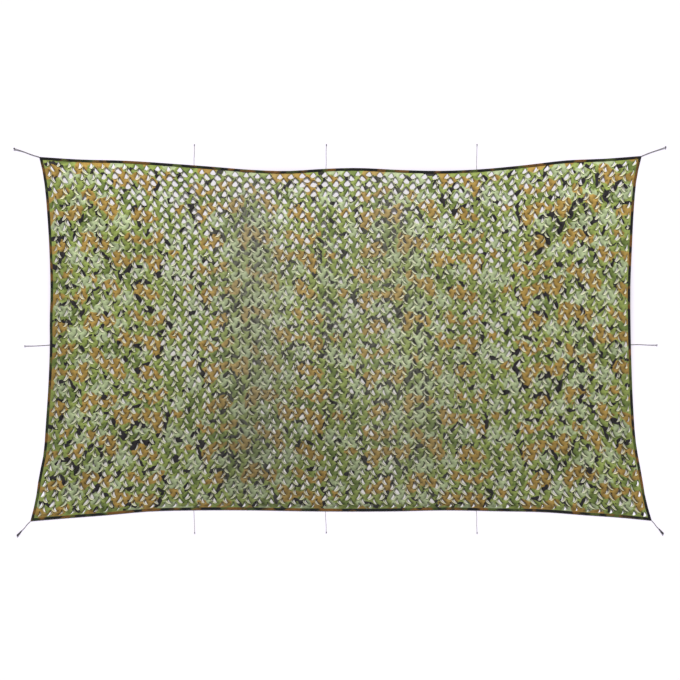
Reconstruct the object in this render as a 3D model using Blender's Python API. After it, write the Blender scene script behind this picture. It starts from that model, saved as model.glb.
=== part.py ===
"""A leaf-cut camouflage net, 5 m by 3 m, lying open and face up on the ground.

One sheet of slit cloth lies in low soft folds. Four folded strips bind its edge,
and twelve cords, each with a knotted free end, are sewn into the binding.

+X runs along the long side, +Y to the top edge and +Z up. The origin is on the
ground under the middle of the net. Everything is in metres.
"""

import math
from collections import namedtuple

import bmesh
import bpy
import numpy as np

MM = 0.001
CLEARANCE = 0.3 * MM

# The outline: four corner tips, and four sides that tension draws in between them.
BOTTOM_LEFT = (-2.547, -1.497)
BOTTOM_RIGHT = (2.547, -1.492)
TOP_RIGHT = (2.465, 1.497)
TOP_LEFT = (-2.475, 1.489)
LONG_SEGMENTS = 48
SHORT_SEGMENTS = 28

# A side runs counter-clockwise from start to end. Each sag is (share of the way
# along the straight line between the corners, metres drawn in from that line).
Side = namedtuple("Side", "start end segments sags")
SIDES = {
    "bottom": Side(BOTTOM_LEFT, BOTTOM_RIGHT, LONG_SEGMENTS, (
        (0.000, 0.000), (0.060, 0.025), (0.122, 0.049), (0.186, 0.078), (0.267, 0.089),
        (0.347, 0.089), (0.450, 0.080), (0.595, 0.080), (0.659, 0.087), (0.756, 0.079),
        (0.830, 0.070), (0.894, 0.045), (0.950, 0.025), (1.000, 0.000))),
    "right": Side(BOTTOM_RIGHT, TOP_RIGHT, SHORT_SEGMENTS, (
        (0.000, 0.000), (0.057, 0.043), (0.123, 0.071), (0.205, 0.109), (0.321, 0.127),
        (0.420, 0.131), (0.520, 0.130), (0.650, 0.121), (0.743, 0.102), (0.863, 0.074),
        (0.945, 0.043), (1.000, 0.000))),
    "top": Side(TOP_RIGHT, TOP_LEFT, LONG_SEGMENTS, (
        (0.000, 0.000), (0.060, 0.022), (0.126, 0.036), (0.192, 0.073), (0.273, 0.109),
        (0.335, 0.120), (0.401, 0.112), (0.474, 0.095), (0.524, 0.101), (0.590, 0.119),
        (0.657, 0.106), (0.707, 0.085), (0.773, 0.060), (0.850, 0.034), (0.940, 0.020),
        (1.000, 0.000))),
    "left": Side(TOP_LEFT, BOTTOM_LEFT, SHORT_SEGMENTS, (
        (0.000, 0.000), (0.035, 0.028), (0.085, 0.054), (0.151, 0.076), (0.249, 0.101),
        (0.380, 0.120), (0.447, 0.119), (0.514, 0.125), (0.595, 0.123), (0.727, 0.108),
        (0.826, 0.090), (0.876, 0.062), (0.942, 0.038), (1.000, 0.000))),
}

# The binding is a strip folded over the sheet's edge round a cord.
BINDING_WIDTH = 22 * MM
BINDING_LAYER = 1.2 * MM
BINDING_CORE = 5 * MM
BINDING_ROUND = 0.9 * MM
MITRE_CUT = 0.25 * MM

# The sheet. Its edge sits in the binding's fold, it is free from just past the
# binding inward, and its folds die away over the last stretch to the edge.
SHEET_THICKNESS = 2 * MM
SHEET_EDGE_INSET = BINDING_CORE + 1 * MM
SHEET_FREE_INSET = BINDING_WIDTH + 2 * MM
SHEET_LIFT = BINDING_LAYER + CLEARANCE
BINDING_HEIGHT = 2 * BINDING_LAYER + SHEET_THICKNESS + 2 * CLEARANCE
CALM_EDGE = 0.24

# Folds are soft ridges along a slightly bowed line from foot to head.
Fold = namedtuple("Fold", "foot head bow rise_foot rise_head half_foot half_head")
FOLDS = (
    # the two long folds that run from the bottom edge to the top one
    Fold((-0.84, -1.42), (-0.70, 1.36), 0.05, 0.040, 0.034, 0.25, 0.21),
    Fold((0.72, -1.40), (0.36, 1.36), -0.06, 0.030, 0.040, 0.21, 0.19),
    # the slack between them
    Fold((0.02, -1.10), (-0.14, 1.34), 0.05, 0.014, 0.024, 0.24, 0.18),
    # creases that run in from the corners
    Fold((-2.40, -1.36), (-1.62, -0.62), 0.02, 0.022, 0.014, 0.15, 0.19),
    Fold((2.40, -1.36), (1.66, -0.72), -0.02, 0.022, 0.012, 0.15, 0.18),
    Fold((-2.32, 1.36), (-1.50, 0.66), -0.03, 0.020, 0.012, 0.15, 0.20),
    Fold((2.32, 1.36), (1.44, 0.74), 0.02, 0.022, 0.014, 0.15, 0.19),
    # short creases that the side and edge ties pull in
    Fold((-2.36, -0.05), (-1.70, 0.02), 0.02, 0.016, 0.008, 0.14, 0.18),
    Fold((2.36, -0.05), (1.72, -0.12), 0.01, 0.016, 0.008, 0.14, 0.18),
    Fold((1.12, 1.36), (1.06, 0.66), 0.01, 0.018, 0.008, 0.14, 0.18),
    Fold((-1.20, 1.38), (-1.28, 0.78), 0.01, 0.016, 0.008, 0.14, 0.18),
    Fold((1.11, -1.38), (1.20, -0.86), 0.01, 0.014, 0.008, 0.14, 0.18),
)
FOLD_TAPER = 0.22
FLAT_BELOW = 0.1 * MM

# The ties. side and share say where a cord leaves the binding (share 0 is the
# corner at the side's start), tip is where its free end lies, bow_near and
# bow_far are how far it strays to its left at one and two thirds of the way.
Tie = namedtuple("Tie", "name side share tip bow_near bow_far diameter end")
PLAIN, LASHED = "plain", "lashed"
TIES = (
    Tie("corner_top_left", "left", 0.0, (-2.686, 1.560), 0.0015, -0.0010, 6 * MM, PLAIN),
    Tie("corner_top_right", "top", 0.0, (2.668, 1.572), 0.0020, 0.0005, 6 * MM, PLAIN),
    Tie("corner_bottom_left", "bottom", 0.0, (-2.656, -1.616), -0.0015, 0.0010, 5 * MM, LASHED),
    Tie("corner_bottom_right", "right", 0.0, (2.642, -1.601), 0.0010, -0.0015, 5 * MM, LASHED),
    Tie("top_left", "top", 0.743, (-1.202, 1.593), 0.0010, -0.0010, 4 * MM, PLAIN),
    Tie("top_middle", "top", 0.524, (-0.120, 1.594), -0.0010, 0.0012, 4 * MM, PLAIN),
    Tie("top_right", "top", 0.274, (1.115, 1.595), 0.0012, 0.0006, 4 * MM, PLAIN),
    Tie("bottom_left", "bottom", 0.263, (-1.200, -1.597), 0.0010, 0.0014, 4 * MM, PLAIN),
    Tie("bottom_middle", "bottom", 0.475, (-0.121, -1.593), -0.0012, 0.0008, 4 * MM, PLAIN),
    Tie("bottom_right", "bottom", 0.718, (1.115, -1.597), 0.0008, -0.0012, 4 * MM, PLAIN),
    Tie("left", "left", 0.515, (-2.598, -0.060), 0.0025, 0.0030, 4 * MM, PLAIN),
    Tie("right", "right", 0.484, (2.595, -0.052), 0.0015, -0.0010, 4 * MM, PLAIN),
)
TIE_START_GAP = 0.5 * MM
TIE_STEP_DIAMETERS = 2.6
TIE_LEAST_STEPS = 12
TIE_ROUNDNESS = 2
GROUND_GAP = 0.2 * MM

# A free end's knot is turned about the cord's line. Each ring is (share of the
# knot's length, share of half its width). A lashed end rises along its length, and
# its rings swell no faster than that, so that it lies on the ground all the way.
Knot = namedtuple("Knot", "length_in_diameters width_in_diameters rings")
KNOTS = {
    PLAIN: Knot(2.8, 2.3, ((0.0, 0.52), (0.18, 0.86), (0.45, 1.0), (0.75, 0.88), (1.0, 0.45))),
    LASHED: Knot(11.0, 3.0, ((0.0, 0.46), (0.3, 0.62), (0.62, 0.79), (0.9, 0.94), (1.0, 0.72))),
}
KNOT_SIDES = 8
SHARP_EDGE = math.radians(40)

Finish = namedtuple("Finish", "colour roughness")
CLOTH = Finish((0.29, 0.36, 0.10), 0.82)
BINDING = Finish((0.035, 0.045, 0.015), 0.85)
CORD = Finish((0.22, 0.22, 0.18), 0.75)
LASHING = Finish((0.03, 0.03, 0.03), 0.75)


def smooth_through(knots, at):
    """A smooth curve through knots, which are rows of (position, value), read at the positions at."""
    places, values = np.array(knots, dtype=float).T
    slopes = np.gradient(values, places)
    before = np.clip(np.searchsorted(places, at) - 1, 0, len(places) - 2)
    span = places[before + 1] - places[before]
    share = (at - places[before]) / span
    rest = 1 - share
    return (
        (1 + 2 * share) * rest**2 * values[before]
        + share * rest**2 * span * slopes[before]
        + share**2 * (3 - 2 * share) * values[before + 1]
        - share**2 * rest * span * slopes[before + 1]
    )


def soft_step(share):
    """0 to 1 with level ends, for shares from 0 to 1."""
    share = np.clip(share, 0, 1)
    return share * share * (3 - 2 * share)


def side_points(side):
    """The side's outer points from its start up to, and without, its end."""
    start, end = np.array(side.start), np.array(side.end)
    shares = np.arange(side.segments) / side.segments
    drawn_in = smooth_through(side.sags, shares)
    along = (end - start) / np.linalg.norm(end - start)
    inward = np.array((-along[1], along[0]))
    return start + shares[:, None] * (end - start) + drawn_in[:, None] * inward


OUTLINE = np.concatenate([side_points(side) for side in SIDES.values()])


def ring(inset):
    """The closed outline moved inward by inset, its corners mitred."""
    step = np.roll(OUTLINE, -1, axis=0) - OUTLINE
    normal = np.stack((-step[:, 1], step[:, 0]), axis=1)
    normal /= np.linalg.norm(normal, axis=1, keepdims=True)
    before = np.roll(normal, 1, axis=0)
    mitre = (normal + before) / (1 + (normal * before).sum(axis=1, keepdims=True))
    return OUTLINE + inset * mitre


def side_places():
    """Each side's place in the ring, as the list of its points' numbers, both corners included."""
    places, first = {}, 0
    for name, side in SIDES.items():
        last = first + side.segments
        places[name] = [i % len(OUTLINE) for i in range(first, last + 1)]
        first = last
    return places


PLACES = side_places()


def fold_height(x, y):
    """How far the folds lift the sheet at x, y."""
    height = np.zeros_like(x)
    for fold in FOLDS:
        foot, head = np.array(fold.foot), np.array(fold.head)
        line = head - foot
        length = np.linalg.norm(line)
        from_foot_x, from_foot_y = x - foot[0], y - foot[1]
        share = (from_foot_x * line[0] + from_foot_y * line[1]) / length**2
        aside = (from_foot_y * line[0] - from_foot_x * line[1]) / length
        aside = aside - fold.bow * np.sin(math.pi * np.clip(share, 0, 1))
        half = fold.half_foot + (fold.half_head - fold.half_foot) * np.clip(share, 0, 1)
        rise = fold.rise_foot + (fold.rise_head - fold.rise_foot) * np.clip(share, 0, 1)
        taper = soft_step(share / FOLD_TAPER) * soft_step((1 - share) / FOLD_TAPER)
        across = np.cos(0.5 * math.pi * np.clip(np.abs(aside) / half, 0, 1)) ** 2
        height += rise * taper * across
    return np.where(height < FLAT_BELOW, 0, height)


def sheet_grid():
    """The free part of the sheet: x, y and underside z on a grid whose first row is at the bottom edge."""
    inner = ring(SHEET_FREE_INSET)
    bottom, right = inner[PLACES["bottom"]], inner[PLACES["right"]]
    top, left = inner[PLACES["top"]][::-1], inner[PLACES["left"]][::-1]
    u = np.linspace(0, 1, LONG_SEGMENTS + 1)[None, :, None]
    v = np.linspace(0, 1, SHORT_SEGMENTS + 1)[:, None, None]
    between_long = (1 - v) * bottom[None] + v * top[None]
    between_short = (1 - u) * left[:, None] + u * right[:, None]
    corners = (1 - v) * ((1 - u) * bottom[0] + u * bottom[-1])
    corners = corners + v * ((1 - u) * top[0] + u * top[-1])
    place = between_long + between_short - corners
    x, y = place[..., 0], place[..., 1]
    width = np.linalg.norm(np.subtract(BOTTOM_RIGHT, BOTTOM_LEFT))
    depth = np.linalg.norm(np.subtract(TOP_LEFT, BOTTOM_LEFT))
    from_side = np.minimum(u, 1 - u)[..., 0] * width
    from_end = np.minimum(v, 1 - v)[..., 0] * depth
    to_edge = np.minimum(from_side, from_end)
    z = np.where(to_edge > 0, fold_height(x, y) * soft_step(to_edge / CALM_EDGE), SHEET_LIFT)
    return x, y, z


def grid_rim(rows, columns):
    """The numbers of a grid's border points, counter-clockwise from its first corner."""
    number = np.arange(rows * columns).reshape(rows, columns)
    sides = (number[0, :-1], number[:-1, -1], number[-1, :0:-1], number[:0:-1, 0])
    return np.concatenate(sides)


def new_object(name, points, faces, finish):
    """A closed mesh object, its faces turned outward and shaded smooth between its sharp edges."""
    mesh = bpy.data.meshes.new(name)
    mesh.from_pydata([tuple(map(float, p)) for p in points], [], faces)
    work = bmesh.new()
    work.from_mesh(mesh)
    bmesh.ops.recalc_face_normals(work, faces=work.faces)
    work.to_mesh(mesh)
    work.free()
    mesh.shade_smooth()
    mesh.set_sharp_from_angle(angle=SHARP_EDGE)
    place_object(bpy.data.objects.new(name, mesh), finish)


def place_object(made, finish):
    """Links an object, gives it its finish and hangs it on the net's empty."""
    bpy.context.scene.collection.objects.link(made)
    material = bpy.data.materials.new(made.name)
    material.use_nodes = True
    shader = material.node_tree.nodes["Principled BSDF"]
    shader.inputs["Base Color"].default_value = (*finish.colour, 1)
    shader.inputs["Roughness"].default_value = finish.roughness
    shader.inputs["Metallic"].default_value = 0
    made.data.materials.append(material)
    made.parent = bpy.data.objects["net"]


def skin_sections(name, sections, finish):
    """A closed object skinned over cross-sections, an array of (section, point round it, x y z)."""
    stations, around = sections.shape[:2]
    number = np.arange(stations * around).reshape(stations, around)
    following = np.roll(number, -1, axis=1)
    quads = np.stack((number[:-1], following[:-1], following[1:], number[1:]), axis=-1)
    faces = quads.reshape(-1, 4).tolist() + [number[0].tolist(), number[-1].tolist()]
    new_object(name, sections.reshape(-1, 3), faces, finish)


def make_sheet():
    """The slit cloth as one thin solid: its free part on the folds, and its edge level in the binding."""
    x, y, z = sheet_grid()
    rows, columns = x.shape
    free = np.stack((x.ravel(), y.ravel(), z.ravel()), axis=1)
    edge = ring(SHEET_EDGE_INSET)
    edge = np.column_stack((edge, np.full(len(edge), SHEET_LIFT)))
    under = np.concatenate((free, edge))
    over = under + (0, 0, SHEET_THICKNESS)
    count = len(under)

    number = np.arange(rows * columns).reshape(rows, columns)
    a, b = number[:-1, :-1].ravel(), number[:-1, 1:].ravel()
    c, d = number[1:, 1:].ravel(), number[1:, :-1].ravel()
    rim = grid_rim(rows, columns)
    outer = np.arange(len(edge)) + len(free)
    rim_next, outer_next = np.roll(rim, -1), np.roll(outer, -1)
    upper = np.concatenate([
        np.stack(corners, axis=1)
        for corners in (
            (a, b, c), (a, c, d),
            (outer, outer_next, rim_next), (outer, rim_next, rim),
        )
    ])
    wall = np.stack((outer, outer_next, outer_next + count, outer + count), axis=1)
    faces = (upper + count).tolist() + upper[:, ::-1].tolist() + wall.tolist()
    new_object("net_panel", np.concatenate((under, over)), faces, CLOTH)


def binding_profile():
    """The strip's cross-section, rows of (inset from the outline, height), as a U open to the sheet."""
    low, high = BINDING_LAYER, BINDING_HEIGHT - BINDING_LAYER
    return (
        (BINDING_ROUND, 0), (BINDING_WIDTH, 0), (BINDING_WIDTH, low), (BINDING_CORE, low),
        (BINDING_CORE, high), (BINDING_WIDTH, high), (BINDING_WIDTH, BINDING_HEIGHT),
        (BINDING_ROUND, BINDING_HEIGHT), (0, BINDING_HEIGHT - BINDING_ROUND), (0, BINDING_ROUND),
    )


def make_binding(side_name):
    """One side's strip, mitred at both corners with a hair's breadth cut off each end."""
    numbers = PLACES[side_name]
    lines = []
    for inset, height in binding_profile():
        line = ring(inset)[numbers]
        for end, towards in ((0, 1), (-1, -2)):
            way = line[towards] - line[end]
            line[end] += MITRE_CUT * way / np.linalg.norm(way)
        lines.append(np.column_stack((line, np.full(len(line), height))))
    skin_sections("binding_" + side_name, np.stack(lines, axis=1), BINDING)


def tie_root(tie):
    """Where the tie leaves the binding, in plan."""
    line = OUTLINE[PLACES[tie.side]]
    at = tie.share * (len(line) - 1)
    shares = np.arange(len(line))
    return np.array([np.interp(at, shares, line[:, axis]) for axis in (0, 1)])


def tie_route(tie):
    """The cord's middle line from the binding to its knot, and the knot's two ends."""
    knot = KNOTS[tie.end]
    knot_length = knot.length_in_diameters * tie.diameter
    knot_radius = knot.width_in_diameters * tie.diameter / 2
    root, tip = tie_root(tie), np.array(tie.tip)
    way = (tip - root) / np.linalg.norm(tip - root)
    left = np.array((-way[1], way[0]))
    start = root + way * TIE_START_GAP
    knot_far = tip
    knot_near = tip - way * knot_length
    cord_end = knot_near - way * CLEARANCE

    plan = [
        start,
        start + (cord_end - start) / 3 + left * tie.bow_near,
        start + (cord_end - start) * 2 / 3 + left * tie.bow_far,
        cord_end,
    ]
    low = tie.diameter / 2 + GROUND_GAP
    near_height = knot_radius * knot.rings[0][1] + GROUND_GAP
    far_height = knot_radius + GROUND_GAP
    if tie.end == PLAIN:
        near_height = far_height
    heights = [max(BINDING_HEIGHT / 2, low), low, low, max(near_height, low)]
    shares = np.linspace(0, 1, 4)
    length = np.linalg.norm(cord_end - start)
    steps = max(TIE_LEAST_STEPS, round(length / (TIE_STEP_DIAMETERS * tie.diameter)))
    at = np.linspace(0, 1, steps + 1)
    columns = [
        smooth_through(np.column_stack((shares, [p[0] for p in plan])), at),
        smooth_through(np.column_stack((shares, [p[1] for p in plan])), at),
        np.maximum(smooth_through(np.column_stack((shares, heights)), at), low),
    ]
    near = np.array((*knot_near, heights[-1]))
    far = np.array((*knot_far, far_height))
    return np.stack(columns, axis=1), near, far


def make_tie(tie):
    """The cord as a round tube with closed ends."""
    route, _, _ = tie_route(tie)
    curve = bpy.data.curves.new("tie_" + tie.name, "CURVE")
    curve.dimensions = "3D"
    curve.bevel_depth = tie.diameter / 2
    curve.bevel_resolution = TIE_ROUNDNESS
    curve.use_fill_caps = True
    spline = curve.splines.new("POLY")
    spline.points.add(len(route) - 1)
    for point, place in zip(spline.points, route):
        point.co = (*place, 1)
    place_object(bpy.data.objects.new("tie_" + tie.name, curve), CORD)


def make_knot(tie):
    """The knot or lashing at the cord's free end, turned about the cord's line."""
    knot = KNOTS[tie.end]
    radius = knot.width_in_diameters * tie.diameter / 2
    _, near, far = tie_route(tie)
    way = (far - near) / np.linalg.norm(far - near)
    aside = np.cross((0, 0, 1), way)
    aside /= np.linalg.norm(aside)
    upward = np.cross(way, aside)
    turn = 2 * math.pi * np.arange(KNOT_SIDES) / KNOT_SIDES
    spoke = np.cos(turn)[:, None] * aside + np.sin(turn)[:, None] * upward
    rings = [near + share * (far - near) + size * radius * spoke for share, size in knot.rings]
    finish = LASHING if tie.end == LASHED else CORD
    skin_sections("knot_" + tie.name, np.stack(rings), finish)


def main():
    for old in list(bpy.data.objects):
        bpy.data.objects.remove(old, do_unlink=True)
    net = bpy.data.objects.new("net", None)
    bpy.context.scene.collection.objects.link(net)
    make_sheet()
    for side_name in SIDES:
        make_binding(side_name)
    for tie in TIES:
        make_tie(tie)
        make_knot(tie)


main()
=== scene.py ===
"""Looks of a leaf-cut camouflage net, 5 m by 3 m, lying open and face up.

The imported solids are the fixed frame. Over the plain panel comes the slit cloth: one
sheet cut with slits in two staggered sets and pulled open, so that every slit gapes
and its lower edge rolls over to show the paler reverse. Folded strips bind the edge,
and twelve twisted cords with knotted or whipped ends are sewn into the strips.

Metres, +X along the long side, +Y to the top edge, +Z up.
"""

from __future__ import annotations

import logging
import math
from dataclasses import dataclass
from enum import Enum

import bpy
import numpy as np
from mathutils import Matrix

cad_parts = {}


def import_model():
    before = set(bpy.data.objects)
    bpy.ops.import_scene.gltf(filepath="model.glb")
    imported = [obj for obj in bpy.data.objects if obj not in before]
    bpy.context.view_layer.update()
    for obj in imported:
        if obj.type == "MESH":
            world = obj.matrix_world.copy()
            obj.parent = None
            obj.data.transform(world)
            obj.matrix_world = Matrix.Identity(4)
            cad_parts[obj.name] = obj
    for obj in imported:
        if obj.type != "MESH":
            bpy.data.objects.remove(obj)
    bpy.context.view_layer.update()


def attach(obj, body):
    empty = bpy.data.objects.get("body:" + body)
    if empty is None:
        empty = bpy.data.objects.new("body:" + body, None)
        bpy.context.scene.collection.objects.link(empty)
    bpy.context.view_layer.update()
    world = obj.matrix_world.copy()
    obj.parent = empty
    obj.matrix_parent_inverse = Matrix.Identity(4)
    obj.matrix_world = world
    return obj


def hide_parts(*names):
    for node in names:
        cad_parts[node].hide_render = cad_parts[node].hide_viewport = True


Array = np.ndarray
Node = bpy.types.Node
Socket = bpy.types.NodeSocket
Piece = bpy.types.Object
Pair = tuple[float, float]
Tone = tuple[float, float, float]
Rows = tuple[tuple[float, ...], ...]

MM = 0.001
UP = np.array((0.0, 0.0, 1.0))
SEED = 20
log = logging.getLogger("net")


# ------------ plain helpers


def soft_step(share: Array) -> Array:
    """Rises from 0 to 1 with level ends: s squared times (3 - 2 s), for shares clipped to 0..1."""
    share = np.clip(share, 0, 1)
    return share * share * (3 - 2 * share)


def between(pair: Pair | tuple[Array, Array], share: Array) -> Array:
    """What lies at a share of the way from the pair's first to its second."""
    return pair[0] + (pair[1] - pair[0]) * share


def ripple(waves: Rows, a: Array, b: Array) -> Array:
    """Sums sine waves over a and b, from rows of (size, radians per a, radians per b, start)."""
    return sum(size * np.sin(per_a * a + per_b * b + start) for size, per_a, per_b, start in waves)


def over_patches(patches: Rows, x: Array, y: Array) -> Array:
    """Sums soft-edged ovals at x, y: each one's change times e to the minus squared oval distance.

    Args:
        patches: rows of (middle x, middle y, half width, half height, change).
        x: the places' x.
        y: the places' y.

    Returns:
        The summed change at each place.
    """
    total = np.zeros_like(x)
    for middle_x, middle_y, half_x, half_y, change in patches:
        total += change * np.exp(-(((x - middle_x) / half_x) ** 2) - ((y - middle_y) / half_y) ** 2)
    return total


def smooth_through(knots: Array | Rows, at: Array) -> Array:
    """Reads a smooth curve through knots.

    The curve is a cubic Hermite piece between each two knots, with the slope at a
    knot taken from its two neighbours.

    Args:
        knots: rows of (position, value).
        at: the positions to read.

    Returns:
        The values at those positions.
    """
    places, values = np.asarray(knots, dtype=float).T
    slopes = np.gradient(values, places)
    before = np.clip(np.searchsorted(places, at) - 1, 0, len(places) - 2)
    span = places[before + 1] - places[before]
    share = (at - places[before]) / span
    rest = 1 - share
    return (
        (1 + 2 * share) * rest**2 * values[before]
        + share * rest**2 * span * slopes[before]
        + share**2 * (3 - 2 * share) * values[before + 1]
        - share**2 * rest * span * slopes[before + 1]
    )


def read_line(line: Array, at: Array, numbers: Array) -> Array:
    """A line's x and y at given positions, where numbers are its own points' positions."""
    return np.stack([np.interp(at, numbers, line[:, axis]) for axis in (0, 1)], axis=-1)


def unit(vectors: Array) -> Array:
    """Each vector divided by its length."""
    return vectors / np.linalg.norm(vectors, axis=-1, keepdims=True)


def run_along(path: Array) -> Array:
    """The metres from a path's first point to each of its points."""
    return np.concatenate(([0], np.cumsum(np.linalg.norm(np.diff(path, axis=0), axis=1))))


def spokes(way: Array, angle: Array) -> Array:
    """Unit vectors square to a way: cosine times its level normal plus sine times its upper one.

    Args:
        way: one unit vector or an array of them.
        angle: the angles round it, from the level normal.

    Returns:
        A vector for each way and angle.
    """
    aside = unit(np.cross(UP, way))
    upward = np.cross(way, aside)
    return np.cos(angle)[:, None] * aside[..., None, :] + np.sin(angle)[:, None] * upward[..., None, :]


def make_piece(name: str, points: Array, faces: list[Array]) -> Piece:
    """Makes a smooth-shaded mesh object at the origin from whole arrays.

    Args:
        name: the piece's name.
        points: the places in metres, x, y and z last.
        faces: arrays of (count, corners) point numbers, one array for each corner count.

    Returns:
        The new object, linked to the scene.
    """
    corners = np.concatenate([part.ravel() for part in faces]).astype(np.int32)
    sizes = np.concatenate([np.full(len(part), part.shape[1]) for part in faces])
    starts = np.concatenate(([0], np.cumsum(sizes)[:-1])).astype(np.int32)
    mesh = bpy.data.meshes.new(name)
    mesh.vertices.add(points.size // 3)
    mesh.vertices.foreach_set("co", points.astype(np.float32).ravel())
    mesh.loops.add(len(corners))
    mesh.loops.foreach_set("vertex_index", corners)
    mesh.polygons.add(len(sizes))
    mesh.polygons.foreach_set("loop_start", starts)
    mesh.update(calc_edges=True)
    mesh.shade_smooth()
    made = bpy.data.objects.new(name, mesh)
    bpy.context.scene.collection.objects.link(made)
    return made


def tube_faces(stations: int, around: int, closed: bool = False) -> list[Array]:
    """Faces of a tube whose points are stored station by station.

    Args:
        stations: how many rings of points it has.
        around: how many points each ring has.
        closed: whether its last ring joins its first, in place of a flat face on each end.

    Returns:
        The side quads and, for an open tube, its two end faces.
    """
    number = np.arange(stations * around).reshape(stations, around)
    beside = np.roll(number, -1, axis=1)
    ahead, both = np.roll(number, -1, axis=0), np.roll(beside, -1, axis=0)
    sides = np.stack((number, beside, both, ahead), axis=-1)
    if closed:
        return [sides.reshape(-1, 4)]
    return [sides[:-1].reshape(-1, 4), number[0][None, ::-1], number[-1][None]]


def give_attribute(mesh: bpy.types.Mesh, name: str, kind: str, domain: str, values: Array) -> None:
    """Stores one value or colour for each point, edge or face.

    Args:
        mesh: the mesh.
        name: what the material reads it by.
        kind: FLOAT, BOOLEAN or FLOAT_COLOR.
        domain: POINT, EDGE or FACE.
        values: one row for each of them.
    """
    word, number = {
        "FLOAT": ("value", np.float32), "BOOLEAN": ("value", bool), "FLOAT_COLOR": ("color", np.float32),
    }[kind]
    mesh.attributes.new(name, kind, domain).data.foreach_set(word, values.astype(number).ravel())


# ------------ the net's outline and ground


class SideName(Enum):
    """The net's four sides, in the order in which the outline runs."""

    BOTTOM = "bottom"
    RIGHT = "right"
    TOP = "top"
    LEFT = "left"


@dataclass(frozen=True)
class SideLine:
    """One side, drawn in by its ties between two corner tips.

    Its sags are rows of (share along, metres drawn in).
    """

    start: Pair
    end: Pair
    segments: int
    sags: Rows

    def points(self) -> Array:
        """The side's outer points from its start up to, and without, its end.

        Each is a point on the straight line between the tips, moved inward by the sag,
        which is a smooth curve through the rows.

        Returns:
            Rows of x and y.
        """
        start, end = np.array(self.start), np.array(self.end)
        shares = np.arange(self.segments) / self.segments
        drawn_in = smooth_through(self.sags, shares)
        along = unit(end - start)
        inward = np.array((-along[1], along[0]))
        return start + shares[:, None] * (end - start) + drawn_in[:, None] * inward


BOTTOM_LEFT = (-2.547, -1.497)
BOTTOM_RIGHT = (2.547, -1.492)
TOP_RIGHT = (2.465, 1.497)
TOP_LEFT = (-2.475, 1.489)
LONG_SEGMENTS = 48
SHORT_SEGMENTS = 28
SIDES = {
    SideName.BOTTOM: SideLine(BOTTOM_LEFT, BOTTOM_RIGHT, LONG_SEGMENTS, (
        (0.000, 0.000), (0.060, 0.025), (0.122, 0.049), (0.186, 0.078), (0.267, 0.089),
        (0.347, 0.089), (0.450, 0.080), (0.595, 0.080), (0.659, 0.087), (0.756, 0.079),
        (0.830, 0.070), (0.894, 0.045), (0.950, 0.025), (1.000, 0.000))),
    SideName.RIGHT: SideLine(BOTTOM_RIGHT, TOP_RIGHT, SHORT_SEGMENTS, (
        (0.000, 0.000), (0.057, 0.043), (0.123, 0.071), (0.205, 0.109), (0.321, 0.127),
        (0.420, 0.131), (0.520, 0.130), (0.650, 0.121), (0.743, 0.102), (0.863, 0.074),
        (0.945, 0.043), (1.000, 0.000))),
    SideName.TOP: SideLine(TOP_RIGHT, TOP_LEFT, LONG_SEGMENTS, (
        (0.000, 0.000), (0.060, 0.022), (0.126, 0.036), (0.192, 0.073), (0.273, 0.109),
        (0.335, 0.120), (0.401, 0.112), (0.474, 0.095), (0.524, 0.101), (0.590, 0.119),
        (0.657, 0.106), (0.707, 0.085), (0.773, 0.060), (0.850, 0.034), (0.940, 0.020),
        (1.000, 0.000))),
    SideName.LEFT: SideLine(TOP_LEFT, BOTTOM_LEFT, SHORT_SEGMENTS, (
        (0.000, 0.000), (0.035, 0.028), (0.085, 0.054), (0.151, 0.076), (0.249, 0.101),
        (0.380, 0.120), (0.447, 0.119), (0.514, 0.125), (0.595, 0.123), (0.727, 0.108),
        (0.826, 0.090), (0.876, 0.062), (0.942, 0.038), (1.000, 0.000))),
}


class Outline:
    """The net's edge, counter-clockwise from its bottom left corner."""

    def __init__(self) -> None:
        """Strings the four sides together and notes where each one lies in the loop."""
        self.loop = np.concatenate([side.points() for side in SIDES.values()])
        self.places: dict[SideName, Array] = {}
        first = 0
        for name, side in SIDES.items():
            self.places[name] = np.arange(first, first + side.segments + 1) % len(self.loop)
            first += side.segments

    def ring(self, inset: float) -> Array:
        """The closed outline moved inward by inset, its corners mitred.

        A corner's offset is the sum of its two sides' unit normals over one plus their
        product, which keeps both sides at the full inset.

        Args:
            inset: how far inward, in metres.

        Returns:
            Rows of x and y, one for each point of the loop.
        """
        step = np.roll(self.loop, -1, axis=0) - self.loop
        normal = unit(np.stack((-step[:, 1], step[:, 0]), axis=1))
        before = np.roll(normal, 1, axis=0)
        mitre = (normal + before) / (1 + (normal * before).sum(axis=1, keepdims=True))
        return self.loop + inset * mitre

    def side(self, name: SideName, inset: float, shares: Array) -> Array:
        """A side's line at an inset, read at shares of the way from its start corner to its end one."""
        line = self.ring(inset)[self.places[name]]
        return read_line(line, shares * (len(line) - 1), np.arange(len(line)))


@dataclass(frozen=True)
class FoldLine:
    """A soft ridge along a slightly bowed line, its rise and half width given at its foot and its head."""

    foot: Pair
    head: Pair
    bow: float
    rise: Pair
    half: Pair


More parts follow.
